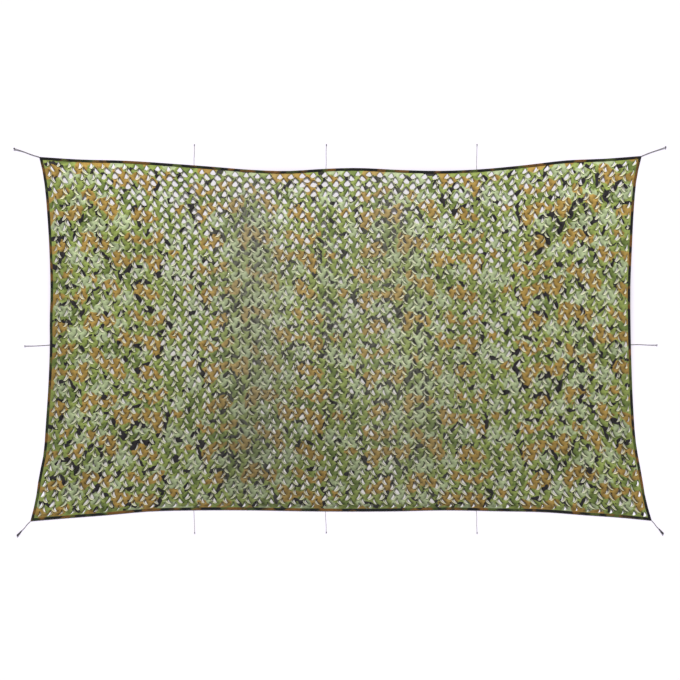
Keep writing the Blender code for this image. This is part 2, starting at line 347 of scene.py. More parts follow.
@dataclass(frozen=True)
class GroundFolds:
    """How the folds lift the cloth off the ground."""

    taper: float = 0.22
    calm_edge: float = 0.24
    folds: tuple[FoldLine, ...] = (
        # the two long folds from the bottom edge to the top one, and the slack between them
        FoldLine((-0.84, -1.42), (-0.70, 1.36), 0.05, (0.040, 0.034), (0.25, 0.21)),
        FoldLine((0.72, -1.40), (0.36, 1.36), -0.06, (0.030, 0.040), (0.21, 0.19)),
        FoldLine((0.02, -1.10), (-0.14, 1.34), 0.05, (0.014, 0.024), (0.24, 0.18)),
        # creases that run in from the corners
        FoldLine((-2.40, -1.36), (-1.62, -0.62), 0.02, (0.022, 0.014), (0.15, 0.19)),
        FoldLine((2.40, -1.36), (1.66, -0.72), -0.02, (0.022, 0.012), (0.15, 0.18)),
        FoldLine((-2.32, 1.36), (-1.50, 0.66), -0.03, (0.020, 0.012), (0.15, 0.20)),
        FoldLine((2.32, 1.36), (1.44, 0.74), 0.02, (0.022, 0.014), (0.15, 0.19)),
        # short creases that the side and edge ties pull in
        FoldLine((-2.36, -0.05), (-1.70, 0.02), 0.02, (0.016, 0.008), (0.14, 0.18)),
        FoldLine((2.36, -0.05), (1.72, -0.12), 0.01, (0.016, 0.008), (0.14, 0.18)),
        FoldLine((1.12, 1.36), (1.06, 0.66), 0.01, (0.018, 0.008), (0.14, 0.18)),
        FoldLine((-1.20, 1.38), (-1.28, 0.78), 0.01, (0.016, 0.008), (0.14, 0.18)),
        FoldLine((1.11, -1.38), (1.20, -0.86), 0.01, (0.014, 0.008), (0.14, 0.18)),
    )

    def rise(self, x: Array, y: Array) -> Array:
        """The folds' height.

        Each fold is a cosine-squared bell across its line, which bows like a half sine
        wave and dies away softly towards its two ends. The folds add up.

        Args:
            x: the places' x.
            y: the places' y.

        Returns:
            The height in metres at each place.
        """
        height = np.zeros_like(x)
        for fold in self.folds:
            foot = np.array(fold.foot)
            line = np.array(fold.head) - foot
            length = np.linalg.norm(line)
            from_x, from_y = x - foot[0], y - foot[1]
            share = (from_x * line[0] + from_y * line[1]) / length**2
            inside = np.clip(share, 0, 1)
            aside = (from_y * line[0] - from_x * line[1]) / length - fold.bow * np.sin(math.pi * inside)
            ends = soft_step(share / self.taper) * soft_step((1 - share) / self.taper)
            across = np.clip(np.abs(aside) / between(fold.half, inside), 0, 1)
            height += between(fold.rise, inside) * ends * np.cos(0.5 * math.pi * across) ** 2
        return height


@dataclass
class ClothMap:
    """Where a point of the net's regular mesh lies on the ground.

    The mesh is counted in cells, 54 across and 34 up. One cell holds two slits.
    """

    outline: Outline
    folds: GroundFolds
    columns: int = 54
    rows: int = 34
    cell: Pair = (91 * MM, 85 * MM)
    edge_inset: float = 9 * MM
    wander: float = 0.075
    waves_across: Rows = ((1, 0.23, 0.61, 0), (0.6, 0.37, -0.9, 1.7))
    waves_up: Rows = ((1, 0.43, -0.31, 0.8), (0.7, 1.13, 0.2, 0))
    still_margin: float = 2.5

    def __post_init__(self) -> None:
        """Reads the four sides once, each running to the right or upward."""
        self._reading = np.linspace(0, 1, 4 * LONG_SEGMENTS + 1)
        lines = [self.outline.side(name, self.edge_inset, self._reading) for name in SideName]
        self._bottom, self._right, self._top, self._left = lines[0], lines[1], lines[2][::-1], lines[3][::-1]

    def to_edge(self, place: Array) -> Array:
        """Metres from the nearest edge of the mesh, for places in cells.

        Args:
            place: places in cells, across and up last.

        Returns:
            The distance at each place.
        """
        a, b = place[..., 0], place[..., 1]
        sideways = np.minimum(a, self.columns - a) * self.cell[0]
        upward = np.minimum(b, self.rows - b) * self.cell[1]
        return np.minimum(sideways, upward)

    def plan(self, place: Array) -> Array:
        """Maps places in cells to x and y.

        The mesh first wanders a little, by two slow sine waves each way that are still
        at the edge. Then a Coons patch blends the four sides: the blend of bottom and
        top, plus the blend of left and right, less the bilinear blend of the four corners.

        Args:
            place: places in cells, across and up last.

        Returns:
            The x and y of each place.
        """
        a, b = place[..., 0], place[..., 1]
        margin = np.minimum(np.minimum(a, self.columns - a), np.minimum(b, self.rows - b))
        free = self.wander * soft_step(margin / self.still_margin)
        u = np.clip((a + free * ripple(self.waves_across, a, b)) / self.columns, 0, 1)
        v = np.clip((b + free * ripple(self.waves_up, a, b)) / self.rows, 0, 1)
        bottom, top = (read_line(line, u, self._reading) for line in (self._bottom, self._top))
        left, right = (read_line(line, v, self._reading) for line in (self._left, self._right))
        u, v = u[..., None], v[..., None]
        corners = (1 - v) * ((1 - u) * self._bottom[0] + u * self._bottom[-1])
        corners = corners + v * ((1 - u) * self._top[0] + u * self._top[-1])
        return (1 - v) * bottom + v * top + (1 - u) * left + u * right - corners

    def ground(self, place: Array, plan: Array) -> Array:
        """The folds' height under places in cells, calmed towards the edge."""
        calm = soft_step(self.to_edge(place) / self.folds.calm_edge)
        return self.folds.rise(plan[..., 0], plan[..., 1]) * calm


# ------------ how open, how worn, what print


@dataclass(frozen=True)
class Openness:
    """How far the slits gape, 0 for a bare slit and 1 for a wide hole, by patches of the net."""

    usual: float = 0.03
    patches: Rows = (
        # the top stretch is pulled widest
        (-0.20, 1.36, 2.20, 0.24, 0.75), (-1.40, 1.02, 0.60, 0.24, 0.22), (1.10, 1.00, 0.60, 0.22, 0.18),
        # two lanes of open slits run down from it, and a third part of the way
        (-1.24, 0.40, 0.22, 0.80, 0.46), (-0.12, 0.40, 0.34, 0.95, 0.42), (1.20, 0.72, 0.32, 0.30, 0.34),
        (-0.55, 0.92, 0.44, 0.14, 0.20), (0.40, 0.94, 0.20, 0.18, 0.22),
        # nearly shut along both short sides
        (-2.20, 0.60, 0.26, 0.80, -0.22), (2.15, 0.50, 0.30, 0.90, -0.20),
        # single slack spots
        (-0.92, 0.66, 0.20, 0.22, 0.22), (-0.90, 0.14, 0.20, 0.20, 0.22), (0.42, 0.18, 0.18, 0.18, 0.28),
        (1.24, 0.06, 0.30, 0.26, 0.24), (-1.88, 0.16, 0.20, 0.16, 0.10), (-1.84, -0.50, 0.24, 0.36, 0.12),
        # wide again by the bottom edge
        (-2.05, -1.22, 0.46, 0.30, 0.26), (0.90, -1.34, 1.30, 0.22, 0.24),
        # pulled shut along one row, and along the last one above the bottom binding
        (0.00, 0.44, 2.60, 0.09, -0.20), (0.00, -1.41, 2.60, 0.07, -0.32),
    )

    def at(self, x: Array, y: Array) -> Array:
        """Openness at x, y, kept between 0 and 1."""
        return np.clip(self.usual + over_patches(self.patches, x, y), 0.0, 1.0)


@dataclass(frozen=True)
class Greying:
    """Painted shade and light: a grey wash along the folds, which stands in for their shade, and a darkening
    of the colour, or a lightening below 0, which stands in for light falling off from the top edge.
    """

    fold_shade_wash: Rows = (
        # painted fold shade: the two long folds, and the slack between them
        (-0.74, 0.75, 0.26, 0.80, 0.75), (-0.70, -0.55, 0.30, 0.80, 0.55), (0.42, 0.90, 0.26, 0.60, 0.50),
        (0.55, -0.60, 0.40, 0.70, 0.45), (0.00, 0.20, 0.60, 0.60, 0.25),
    )
    painted_shading: Rows = (
        # painted light and shade: lighter along the top edge, darker along the bottom one and the short sides
        (0.00, 1.45, 3.00, 0.70, -0.22), (0.00, -1.10, 2.70, 0.90, 0.34), (-0.60, -0.70, 0.60, 0.70, 0.12),
        (-2.40, 0.00, 0.16, 1.50, 0.15), (2.40, 0.00, 0.16, 1.50, 0.15),
        # single stretches and corners
        (-0.26, 0.20, 0.14, 1.20, -0.06), (0.15, -0.60, 0.40, 0.50, -0.05), (-0.75, 1.20, 0.26, 0.30, 0.12),
        (-2.25, 1.20, 0.40, 0.50, -0.12), (2.10, 1.20, 0.50, 0.50, -0.13), (0.48, 0.10, 0.26, 1.10, -0.10),
        (1.10, -0.10, 0.16, 0.90, 0.07),
    )
    painted_shading_limits: Pair = (-0.5, 1.0)

    def painted_fold_shade(self, x: Array, y: Array) -> Array:
        """The share of the painted grey fold shade at x, y."""
        return np.clip(over_patches(self.fold_shade_wash, x, y), 0, 1)

    def depth(self, x: Array, y: Array) -> Array:
        """The share by which painted shade darkens the colour at x, y, or painted light lightens it below 0.
        """
        return np.clip(over_patches(self.painted_shading, x, y), *self.painted_shading_limits)


class Dye(Enum):
    """The print's inks, in the order of the colour channels that carry them."""

    BROWN = 0
    BLACK = 1
    DARK_GREEN = 2
    PALE_GREEN = 3


# The print's half repeat: for each ink rows of (middle x, middle y, half length, half width,
# turn in degrees). The brown lies in bent groups of one or two ovals, all but one of them well
# away from x = 0. The black lies in short thin chains that hook round the brown. The two
# further greens are broad and soft.
BLOTS: dict[Dye, Rows] = {
    Dye.BROWN: (
        (0.260, 0.090, 0.085, 0.040, 20), (0.345, 0.125, 0.050, 0.036, -50), (0.540, 0.130, 0.060, 0.048, 70),
        (0.600, 0.200, 0.070, 0.036, -20), (0.210, 0.320, 0.048, 0.066, 10), (0.275, 0.375, 0.062, 0.034, 35),
        (0.440, 0.370, 0.080, 0.038, -15), (0.500, 0.430, 0.045, 0.050, 0), (0.190, 0.550, 0.075, 0.036, -35),
        (0.370, 0.570, 0.080, 0.036, 28), (0.600, 0.540, 0.055, 0.045, -50), (0.050, 0.400, 0.045, 0.030, 20),
    ),
    Dye.BLACK: (
        (0.290, 0.180, 0.056, 0.0172, 8), (0.385, 0.150, 0.040, 0.0172, -60),
        (0.478, 0.235, 0.056, 0.0172, 72), (0.640, 0.110, 0.046, 0.0180, 50),
        (0.150, 0.330, 0.058, 0.0172, -66), (0.190, 0.235, 0.036, 0.0164, 25),
        (0.350, 0.325, 0.050, 0.0172, 30), (0.545, 0.350, 0.048, 0.0172, 70),
        (0.610, 0.440, 0.044, 0.0172, 20), (0.400, 0.470, 0.056, 0.0164, -6),
        (0.110, 0.510, 0.050, 0.0172, 46), (0.250, 0.615, 0.054, 0.0164, -12),
        (0.490, 0.590, 0.052, 0.0172, -48), (0.045, 0.200, 0.042, 0.0172, 15),
        (0.560, 0.030, 0.036, 0.0164, -20), (0.050, 0.045, 0.034, 0.0164, 65),
        (0.330, 0.045, 0.044, 0.0170, 58), (0.155, 0.425, 0.042, 0.0170, 38),
        (0.425, 0.300, 0.042, 0.0170, -58), (0.640, 0.590, 0.044, 0.0170, 55),
    ),
    Dye.DARK_GREEN: (
        (0.400, 0.230, 0.080, 0.045, -15), (0.600, 0.320, 0.070, 0.050, 20), (0.100, 0.100, 0.070, 0.045, 40),
        (0.290, 0.480, 0.080, 0.040, 5), (0.060, 0.600, 0.060, 0.040, 0),
    ),
    Dye.PALE_GREEN: (
        (0.100, 0.250, 0.070, 0.085, 10), (0.050, 0.480, 0.080, 0.055, 20), (0.450, 0.060, 0.080, 0.056, 30),
        (0.330, 0.280, 0.070, 0.050, -30), (0.640, 0.030, 0.050, 0.050, 0), (0.520, 0.500, 0.080, 0.044, 15),
        (0.180, 0.600, 0.060, 0.044, -30), (0.600, 0.240, 0.060, 0.044, 30),
    ),
}


@dataclass(frozen=True)
class PrintChart:
    """A plain woodland print, charted on half a repeat, with a dropped mirror image beside it."""

    width: float = 1.32
    height: float = 0.65
    drop: float = 0.42
    sway: float = 0.030
    sway_x: Rows = ((1, 0.7, 1.9, 0), (0.5, 7.3, 4.1, 0))
    sway_y: Rows = ((1, 2.3, 0, 0.4), (0.5, -5.2, 6.1, 0))
    swell: float = 0.3

    def at(self, x: Array, y: Array) -> Array:
        """How deep x, y lies inside each ink's blots, 0.5 being a blot's edge.

        A blot adds 2 to the minus squared oval distance, so that near ones melt
        together. Each has a mirrored twin, dropped by part of the repeat's height. Both
        directions wrap round, after x and y have swayed a little and each ink has swelled
        or shrunk by a slow wave, so that no two repeats are quite alike.

        Args:
            x: the places' x on the flat cloth.
            y: the places' y.

        Returns:
            The depths, with one channel for each ink last.
        """
        x = x + self.sway * ripple(self.sway_x, x, y)
        y = y + self.sway * ripple(self.sway_y, x, y)
        width, height = self.width, self.height
        inks = np.zeros((*x.shape, len(Dye)))
        for dye, blots in BLOTS.items():
            ink = dye.value
            for middle_x, middle_y, half_long, half_short, degrees in blots:
                for side, drop in ((1, 0.0), (-1, self.drop * height)):
                    away_x = (x - side * middle_x + width / 2) % width - width / 2
                    away_y = (y - middle_y - drop + height / 2) % height - height / 2
                    turn = side * math.radians(degrees)
                    long_way = (away_x * math.cos(turn) + away_y * math.sin(turn)) / half_long
                    short_way = (away_y * math.cos(turn) - away_x * math.sin(turn)) / half_short
                    inks[..., ink] += 2.0 ** -(long_way**2 + short_way**2)
            wave = np.sin(2.7 * x + 1.9 * y + ink) * np.sin(2.2 * y - 1.6 * x + 2.0 * ink)
            inks[..., ink] *= 1 + self.swell * wave
        return inks


# ------------ shader building


@dataclass
class Graph:
    """A small hand for wiring shader nodes in a material's or a group's tree."""

    tree: bpy.types.NodeTree

    def add(self, kind: str, *inputs: object, **settings: object) -> Node:
        """Adds a node, sets its own properties and feeds its first inputs.

        Args:
            kind: Blender's name for the node.
            inputs: sockets or values for its first inputs, in order.
            settings: its own properties by name.

        Returns:
            The node.
        """
        node = self.tree.nodes.new(kind)
        for name, value in settings.items():
            setattr(node, name, value)
        for target, value in zip(node.inputs, inputs):
            self.feed(target, value)
        return node

    def feed(self, target: Socket, value: object) -> None:
        """Links a socket to the target, or sets the target's own value.

        Args:
            target: the input.
            value: a socket, or a value that the input takes.
        """
        if isinstance(value, bpy.types.NodeSocket):
            self.tree.links.new(value, target)
        else:
            target.default_value = value

    def place(self) -> Socket:
        """The place on the piece, in metres from the origin."""
        return self.add("ShaderNodeTexCoord").outputs["Object"]

    def stored(self, name: str, output: str = "Fac") -> Socket:
        """One output of what the mesh stores under a name."""
        return self.add("ShaderNodeAttribute", attribute_name=name).outputs[output]

    def math(self, operation: str, first: object, second: object = 0.0) -> Socket:
        """One arithmetic step on two values."""
        return self.add("ShaderNodeMath", first, second, operation=operation).outputs[0]

    def vector(self, operation: str, first: object, second: object) -> Socket:
        """One arithmetic step on two vectors."""
        return self.add("ShaderNodeVectorMath", first, second, operation=operation).outputs[0]

    def mix(self, share: object, first: object, second: object, blend: str = "MIX") -> Socket:
        """Blends two colours.

        Args:
            share: how much of the second colour there is.
            first: a colour or its socket.
            second: a colour or its socket.
            blend: Blender's name for the way of blending.

        Returns:
            The blend.
        """
        node = self.add("ShaderNodeMix", data_type="RGBA", blend_type=blend)
        for name, value in (("Factor", share), ("A", first), ("B", second)):
            self.feed(node.inputs[name], value)
        return node.outputs["Result"]

    def noise(self, place: Socket, scale: object, detail: float = 2.0, rough: float = 0.5) -> Socket:
        """Soft noise from 0 to 1, mostly near a half.

        Args:
            place: where it is read.
            scale: how many waves there are to a metre.
            detail: how many finer waves lie on them.
            rough: how strong each finer wave is.

        Returns:
            The noise.
        """
        node = self.add("ShaderNodeTexNoise")
        for name, value in (("Vector", place), ("Scale", scale), ("Detail", detail), ("Roughness", rough)):
            self.feed(node.inputs[name], value)
        return node.outputs["Fac"]

    def ramp(
        self, value: Socket, low: float, high: float, to_low: float = 0.0, to_high: float = 1.0
    ) -> Socket:
        """Carries a value from one range to another, level at both ends.

        Args:
            value: what is carried.
            low: the value that gives to_low.
            high: the value that gives to_high.
            to_low: the first end of the new range.
            to_high: its other end.

        Returns:
            The carried value.
        """
        numbers = (value, low, high, to_low, to_high)
        node = self.add("ShaderNodeMapRange", *numbers, interpolation_type="SMOOTHSTEP", clamp=True)
        return node.outputs[0]

    def effect(self, group: bpy.types.NodeTree, **inputs: object) -> bpy.types.NodeOutputs:
        """Places a shared effect and feeds its named inputs.

        Args:
            group: the effect.
            inputs: its inputs by name, in lower case.

        Returns:
            The placed group's outputs.
        """
        node = self.add("ShaderNodeGroup", node_tree=group)
        for name, value in inputs.items():
            self.feed(node.inputs[name.capitalize()], value)
        return node.outputs

    def bump(self, height: Socket, strength: float, distance: float) -> Socket:
        """A normal roughened by a height.

        Args:
            height: the height, from 0 to 1.
            strength: how strongly it shows.
            distance: how many metres high 1 is.

        Returns:
            The normal.
        """
        node = self.add("ShaderNodeBump")
        for name, value in (("Height", height), ("Strength", strength), ("Distance", distance)):
            self.feed(node.inputs[name], value)
        return node.outputs["Normal"]


def new_effect(name: str, numbers: dict[str, float], outputs: tuple[str, ...]) -> tuple[Graph, Node, Node]:
    """Starts a shader node group that reads a place and some numbers.

    Args:
        name: the group's name.
        numbers: the default of each named number.
        outputs: the names of its value outputs.

    Returns:
        The group's graph, its input node and its output node.
    """
    tree = bpy.data.node_groups.new(name, "ShaderNodeTree")
    tree.interface.new_socket("Place", in_out="INPUT", socket_type="NodeSocketVector")
    for label, number in numbers.items():
        socket = tree.interface.new_socket(label, in_out="INPUT", socket_type="NodeSocketFloat")
        socket.default_value = number
    for label in outputs:
        tree.interface.new_socket(label, in_out="OUTPUT", socket_type="NodeSocketFloat")
    graph = Graph(tree)
    return graph, graph.add("NodeGroupInput"), graph.add("NodeGroupOutput")


class Effects:
    """The shader node groups that several finishes share."""

    def __init__(self) -> None:
        """Builds each effect once."""
        self.blot_edge = self._blot_edge()
        self.weave = self._weave()
        self.fibre = self._fibre()

    @staticmethod
    def _blot_edge() -> bpy.types.NodeTree:
        """A crisp, slightly ragged mask from a smooth ink depth whose edge lies at a half.

        Returns:
            The node group.
        """
        numbers = {"Depth": 0.0, "Ragged": 0.2, "Softness": 0.04}
        graph, given, result = new_effect("blot edge", numbers, ("Mask",))
        broad = graph.noise(given.outputs["Place"], 34.0, 3.0, 0.6)
        shift = graph.math("MULTIPLY", graph.math("SUBTRACT", broad, 0.5), given.outputs["Ragged"])
        depth = graph.math("SUBTRACT", graph.math("ADD", given.outputs["Depth"], shift), 0.5)
        share = graph.math("DIVIDE", depth, given.outputs["Softness"])
        graph.feed(result.inputs["Mask"], graph.ramp(share, -1.0, 1.0))
        return graph.tree

    @staticmethod
    def _weave() -> bpy.types.NodeTree:
        """Plain weave: two crossed sets of threads, and a slow unevenness in the cloth's tone.

        Returns:
            The node group.
        """
        graph, given, result = new_effect("weave", {"Pitch": 0.0012}, ("Height", "Tone"))
        turns = graph.add("ShaderNodeVectorMath", given.outputs["Place"], operation="SCALE")
        graph.feed(turns.inputs["Scale"], graph.math("DIVIDE", 2 * math.pi, given.outputs["Pitch"]))
        parts = graph.add("ShaderNodeSeparateXYZ", turns.outputs[0]).outputs
        crossed = graph.math("MULTIPLY", graph.math("SINE", parts["X"]), graph.math("SINE", parts["Y"]))
        graph.feed(result.inputs["Height"], graph.math("MULTIPLY", crossed, 0.5))
        uneven = graph.noise(given.outputs["Place"], 55.0, 3.0, 0.6)
        graph.feed(result.inputs["Tone"], graph.ramp(uneven, 0.25, 0.75))
        return graph.tree

    @staticmethod
    def _fibre() -> bpy.types.NodeTree:
        """Fine hairs on a twisted strand, as a height, and their slow unevenness, as a tone.

        Returns:
            The node group.
        """
        graph, given, result = new_effect("fibre", {"Fineness": 900.0}, ("Height", "Tone"))
        fine = graph.noise(given.outputs["Place"], given.outputs["Fineness"], 2.0, 0.6)
        broad = graph.noise(given.outputs["Place"], 60.0)
        graph.feed(result.inputs["Height"], fine)
        graph.feed(result.inputs["Tone"], graph.math("MULTIPLY", fine, graph.ramp(broad, 0.2, 0.8, 0.7, 1.2)))
        return graph.tree


def new_material(name: str, plain: dict[str, float]) -> tuple[bpy.types.Material, Graph, Node]:
    """Starts a material.

    Args:
        name: its name.
        plain: numbers that are the same all over, for the Principled shader's own sockets.

    Returns:
        The material, its graph and its Principled shader.
    """
    material = bpy.data.materials.new(name)
    material.use_nodes = True
    shader = material.node_tree.nodes["Principled BSDF"]
    for label, number in plain.items():
        shader.inputs[label].default_value = number
    return material, Graph(material.node_tree), shader


def colour(tone: Tone) -> tuple[float, float, float, float]:
    """A display colour from 0 to 255 as a linear shader colour.

    Below 0.04045 it is divided by 12.92, and above that it is (c + 0.055) / 1.055 to the
    power of 2.4.

    Args:
        tone: red, green and blue from 0 to 255.

    Returns:
        Red, green, blue and an alpha of 1.
    """
    shares = np.array(tone) / 255
    linear = np.where(shares <= 0.04045, shares / 12.92, ((shares + 0.055) / 1.055) ** 2.4)
    return (*(float(value) for value in linear), 1.0)


@dataclass(frozen=True)
class PrintedCloth:
    """Matt polyester cloth printed on its face, with a paler reverse.

    A blot's edge is how ragged and how soft it is. A shade is the range by which the
    colour is multiplied.
    """

    green: Tone = (125, 139, 71)
    dark_green: Tone = (97, 113, 55)
    pale_green: Tone = (152, 165, 124)
    brown: Tone = (147, 121, 59)
    black: Tone = (35, 32, 34)
    bare: Tone = (209, 209, 178)
    # painted fold shade: the grey that the folds are washed with, standing in for their shade
    painted_fold_shade: Tone = (142, 145, 124)
    brown_edge: Pair = (0.34, 0.05)
    black_edge: Pair = (0.30, 0.05)
    green_edge: Pair = (0.45, 0.06)
    reverse_share: float = 0.68
    # how much of the painted grey fold shade is mixed in
    painted_fold_shade_share: float = 0.55
    weave_pitch: float = 1.3 * MM
    weave_shade: Pair = (0.86, 1.10)
    weave_bump: Pair = (0.25, 0.2 * MM)
    cloud_scale: float = 2.3
    cloud_shade: Pair = (0.90, 1.06)
    roughness: Pair = (0.84, 0.93)
    sheen: float = 0.12
    specular: float = 0.25

    def build(self, effects: Effects, metres_per_map: float) -> bpy.types.Material:
        """Wires the print: greens, then brown, then black, then the reverse, the painted grey shade along the
        folds, and the painted light and shade stored as depth.

        Args:
            effects: the shared node groups.
            metres_per_map: how many metres of flat cloth one unit of the flat map spans.

        Returns:
            The material.
        """
        plain = {"Sheen Weight": self.sheen, "Specular IOR Level": self.specular}
        material, graph, shader = new_material("printed slit cloth", plain)
        flat = graph.add("ShaderNodeUVMap", uv_map="OFBake").outputs["UV"]
        flat = graph.vector("MULTIPLY", flat, (metres_per_map, metres_per_map, 0))
        channels = graph.add("ShaderNodeSeparateColor", graph.stored("inks", "Color")).outputs
        depths = {
            Dye.DARK_GREEN: (channels["Blue"], self.green_edge, self.dark_green),
            Dye.PALE_GREEN: (graph.stored("inks", "Alpha"), self.green_edge, self.pale_green),
            Dye.BROWN: (channels["Red"], self.brown_edge, self.brown),
            Dye.BLACK: (channels["Green"], self.black_edge, self.black),
        }
        cloth = colour(self.green)
        for depth, (ragged, softness), tone in depths.values():
            blot = graph.effect(effects.blot_edge, place=flat, depth=depth, ragged=ragged, softness=softness)
            cloth = graph.mix(blot["Mask"], cloth, colour(tone))
        weave = graph.effect(effects.weave, place=flat, pitch=self.weave_pitch)
        cloth = graph.mix(1.0, cloth, graph.ramp(weave["Tone"], 0, 1, *self.weave_shade), "MULTIPLY")
        clouds = graph.noise(graph.place(), self.cloud_scale)
        cloth = graph.mix(1.0, cloth, graph.ramp(clouds, 0.3, 0.7, *self.cloud_shade), "MULTIPLY")
        paler = graph.math("MULTIPLY", graph.stored("reverse"), self.reverse_share)
        cloth = graph.mix(paler, cloth, colour(self.bare))
        # painted shade: the grey wash along the folds
        fold_shade_wash = graph.math("MULTIPLY", graph.stored("painted_fold_shade"), self.painted_fold_shade_share)
        cloth = graph.mix(fold_shade_wash, cloth, colour(self.painted_fold_shade))
        # painted light and shade: darker towards the bottom edge and the short sides, lighter along the top
        # edge
        cloth = graph.mix(1.0, cloth, graph.math("SUBTRACT", 1.0, graph.stored("depth")), "MULTIPLY")
        graph.feed(shader.inputs["Base Color"], cloth)
        graph.feed(shader.inputs["Roughness"], graph.ramp(weave["Tone"], 0, 1, *self.roughness))
        graph.feed(shader.inputs["Normal"], graph.bump(weave["Height"], *self.weave_bump))
        return material


@dataclass(frozen=True)
class EdgeStrip:
    """The binding's dark printed strip: stretches of olive, brown and black on near-black green.

    Each stretch's noise is read at a shift and a scale of its own.
    """

    ground: Tone = (30, 40, 20)
    stretches: tuple[tuple[Tone, Tone, float], ...] = (
        ((64, 76, 32), (0.0, 0.0, 0.0), 5.0),
        ((96, 66, 26), (3.1, 1.7, 0.0), 6.5),
        ((16, 17, 16), (9.3, 4.1, 0.0), 8.0),
    )
    edge: Pair = (0.12, 0.05)
    weave_pitch: float = 1.6 * MM
    weave_shade: Pair = (0.75, 1.15)
    weave_bump: Pair = (0.4, 0.3 * MM)
    roughness: Pair = (0.8, 0.92)
    specular: float = 0.25

    def build(self, effects: Effects) -> bpy.types.Material:
        """Wires the stretches under a coarse weave.

        Args:
            effects: the shared node groups.

        Returns:
            The material.
        """
        material, graph, shader = new_material("dark binding strip", {"Specular IOR Level": self.specular})
        place = graph.place()
        stretched = graph.vector("MULTIPLY", place, (1.0, 1.0, 0.2))
        ragged, softness = self.edge
        strip = colour(self.ground)
        for tone, shift, scale in self.stretches:
            depth = graph.noise(graph.vector("ADD", stretched, shift), scale, 1.0)
            blot = graph.effect(effects.blot_edge, place=place, depth=depth, ragged=ragged, softness=softness)
            strip = graph.mix(blot["Mask"], strip, colour(tone))
        weave = graph.effect(effects.weave, place=place, pitch=self.weave_pitch)
        strip = graph.mix(1.0, strip, graph.ramp(weave["Tone"], 0, 1, *self.weave_shade), "MULTIPLY")
        graph.feed(shader.inputs["Base Color"], strip)
        graph.feed(shader.inputs["Roughness"], graph.ramp(weave["Tone"], 0, 1, *self.roughness))
        graph.feed(shader.inputs["Normal"], graph.bump(weave["Height"], *self.weave_bump))
        return material


@dataclass(frozen=True)
class Twine:
    """Spun fibre: cord, whipping twine or sewing thread."""

    name: str
    light: Tone
    dark: Tone
    fineness: float = 900.0
    roughness: Pair = (0.8, 0.92)
    hair_bump: Pair = (0.35, 0.25 * MM)
    sheen: float = 0.1

    def build(self, effects: Effects) -> bpy.types.Material:
        """Wires fine hairs between the light and the dark tone.

        Args:
            effects: the shared node groups.

        Returns:
            The material.
        """
        material, graph, shader = new_material(self.name, {"Sheen Weight": self.sheen})
        fibre = graph.effect(effects.fibre, place=graph.place(), fineness=self.fineness)
        tone = graph.ramp(fibre["Tone"], 0.25, 0.75)
        graph.feed(shader.inputs["Base Color"], graph.mix(tone, colour(self.dark), colour(self.light)))
        graph.feed(shader.inputs["Roughness"], graph.ramp(fibre["Tone"], 0.2, 0.8, *self.roughness))
        graph.feed(shader.inputs["Normal"], graph.bump(fibre["Height"], *self.hair_bump))
        return material


CORD_FINISH = Twine("grey tie cord", (150, 150, 142), (88, 88, 82))
KNOT_FINISH = Twine("grey cord knot", (118, 118, 110), (56, 56, 52))
WHIP_FINISH = Twine("black whipping twine", (52, 52, 50), (14, 14, 15), fineness=1400.0)
THREAD_FINISH = Twine("olive sewing thread", (74, 82, 46), (34, 40, 22), fineness=2000.0)


# ------------ the slit cloth


@dataclass(frozen=True)
class Chance:
    """How far chance moves a slit's sizes and a rim point's place, as lengths, angles or shares."""

    openness: float = 0.16
    length: float = 0.03
    width: float = 0.2
    lean: float = math.radians(4)
    middle: float = 1.1 * MM
    heading: float = 0.2
    roll: float = 0.35
    height: float = 0.12
    rim_place: float = 1.4 * MM
    rim_height: float = 0.8 * MM


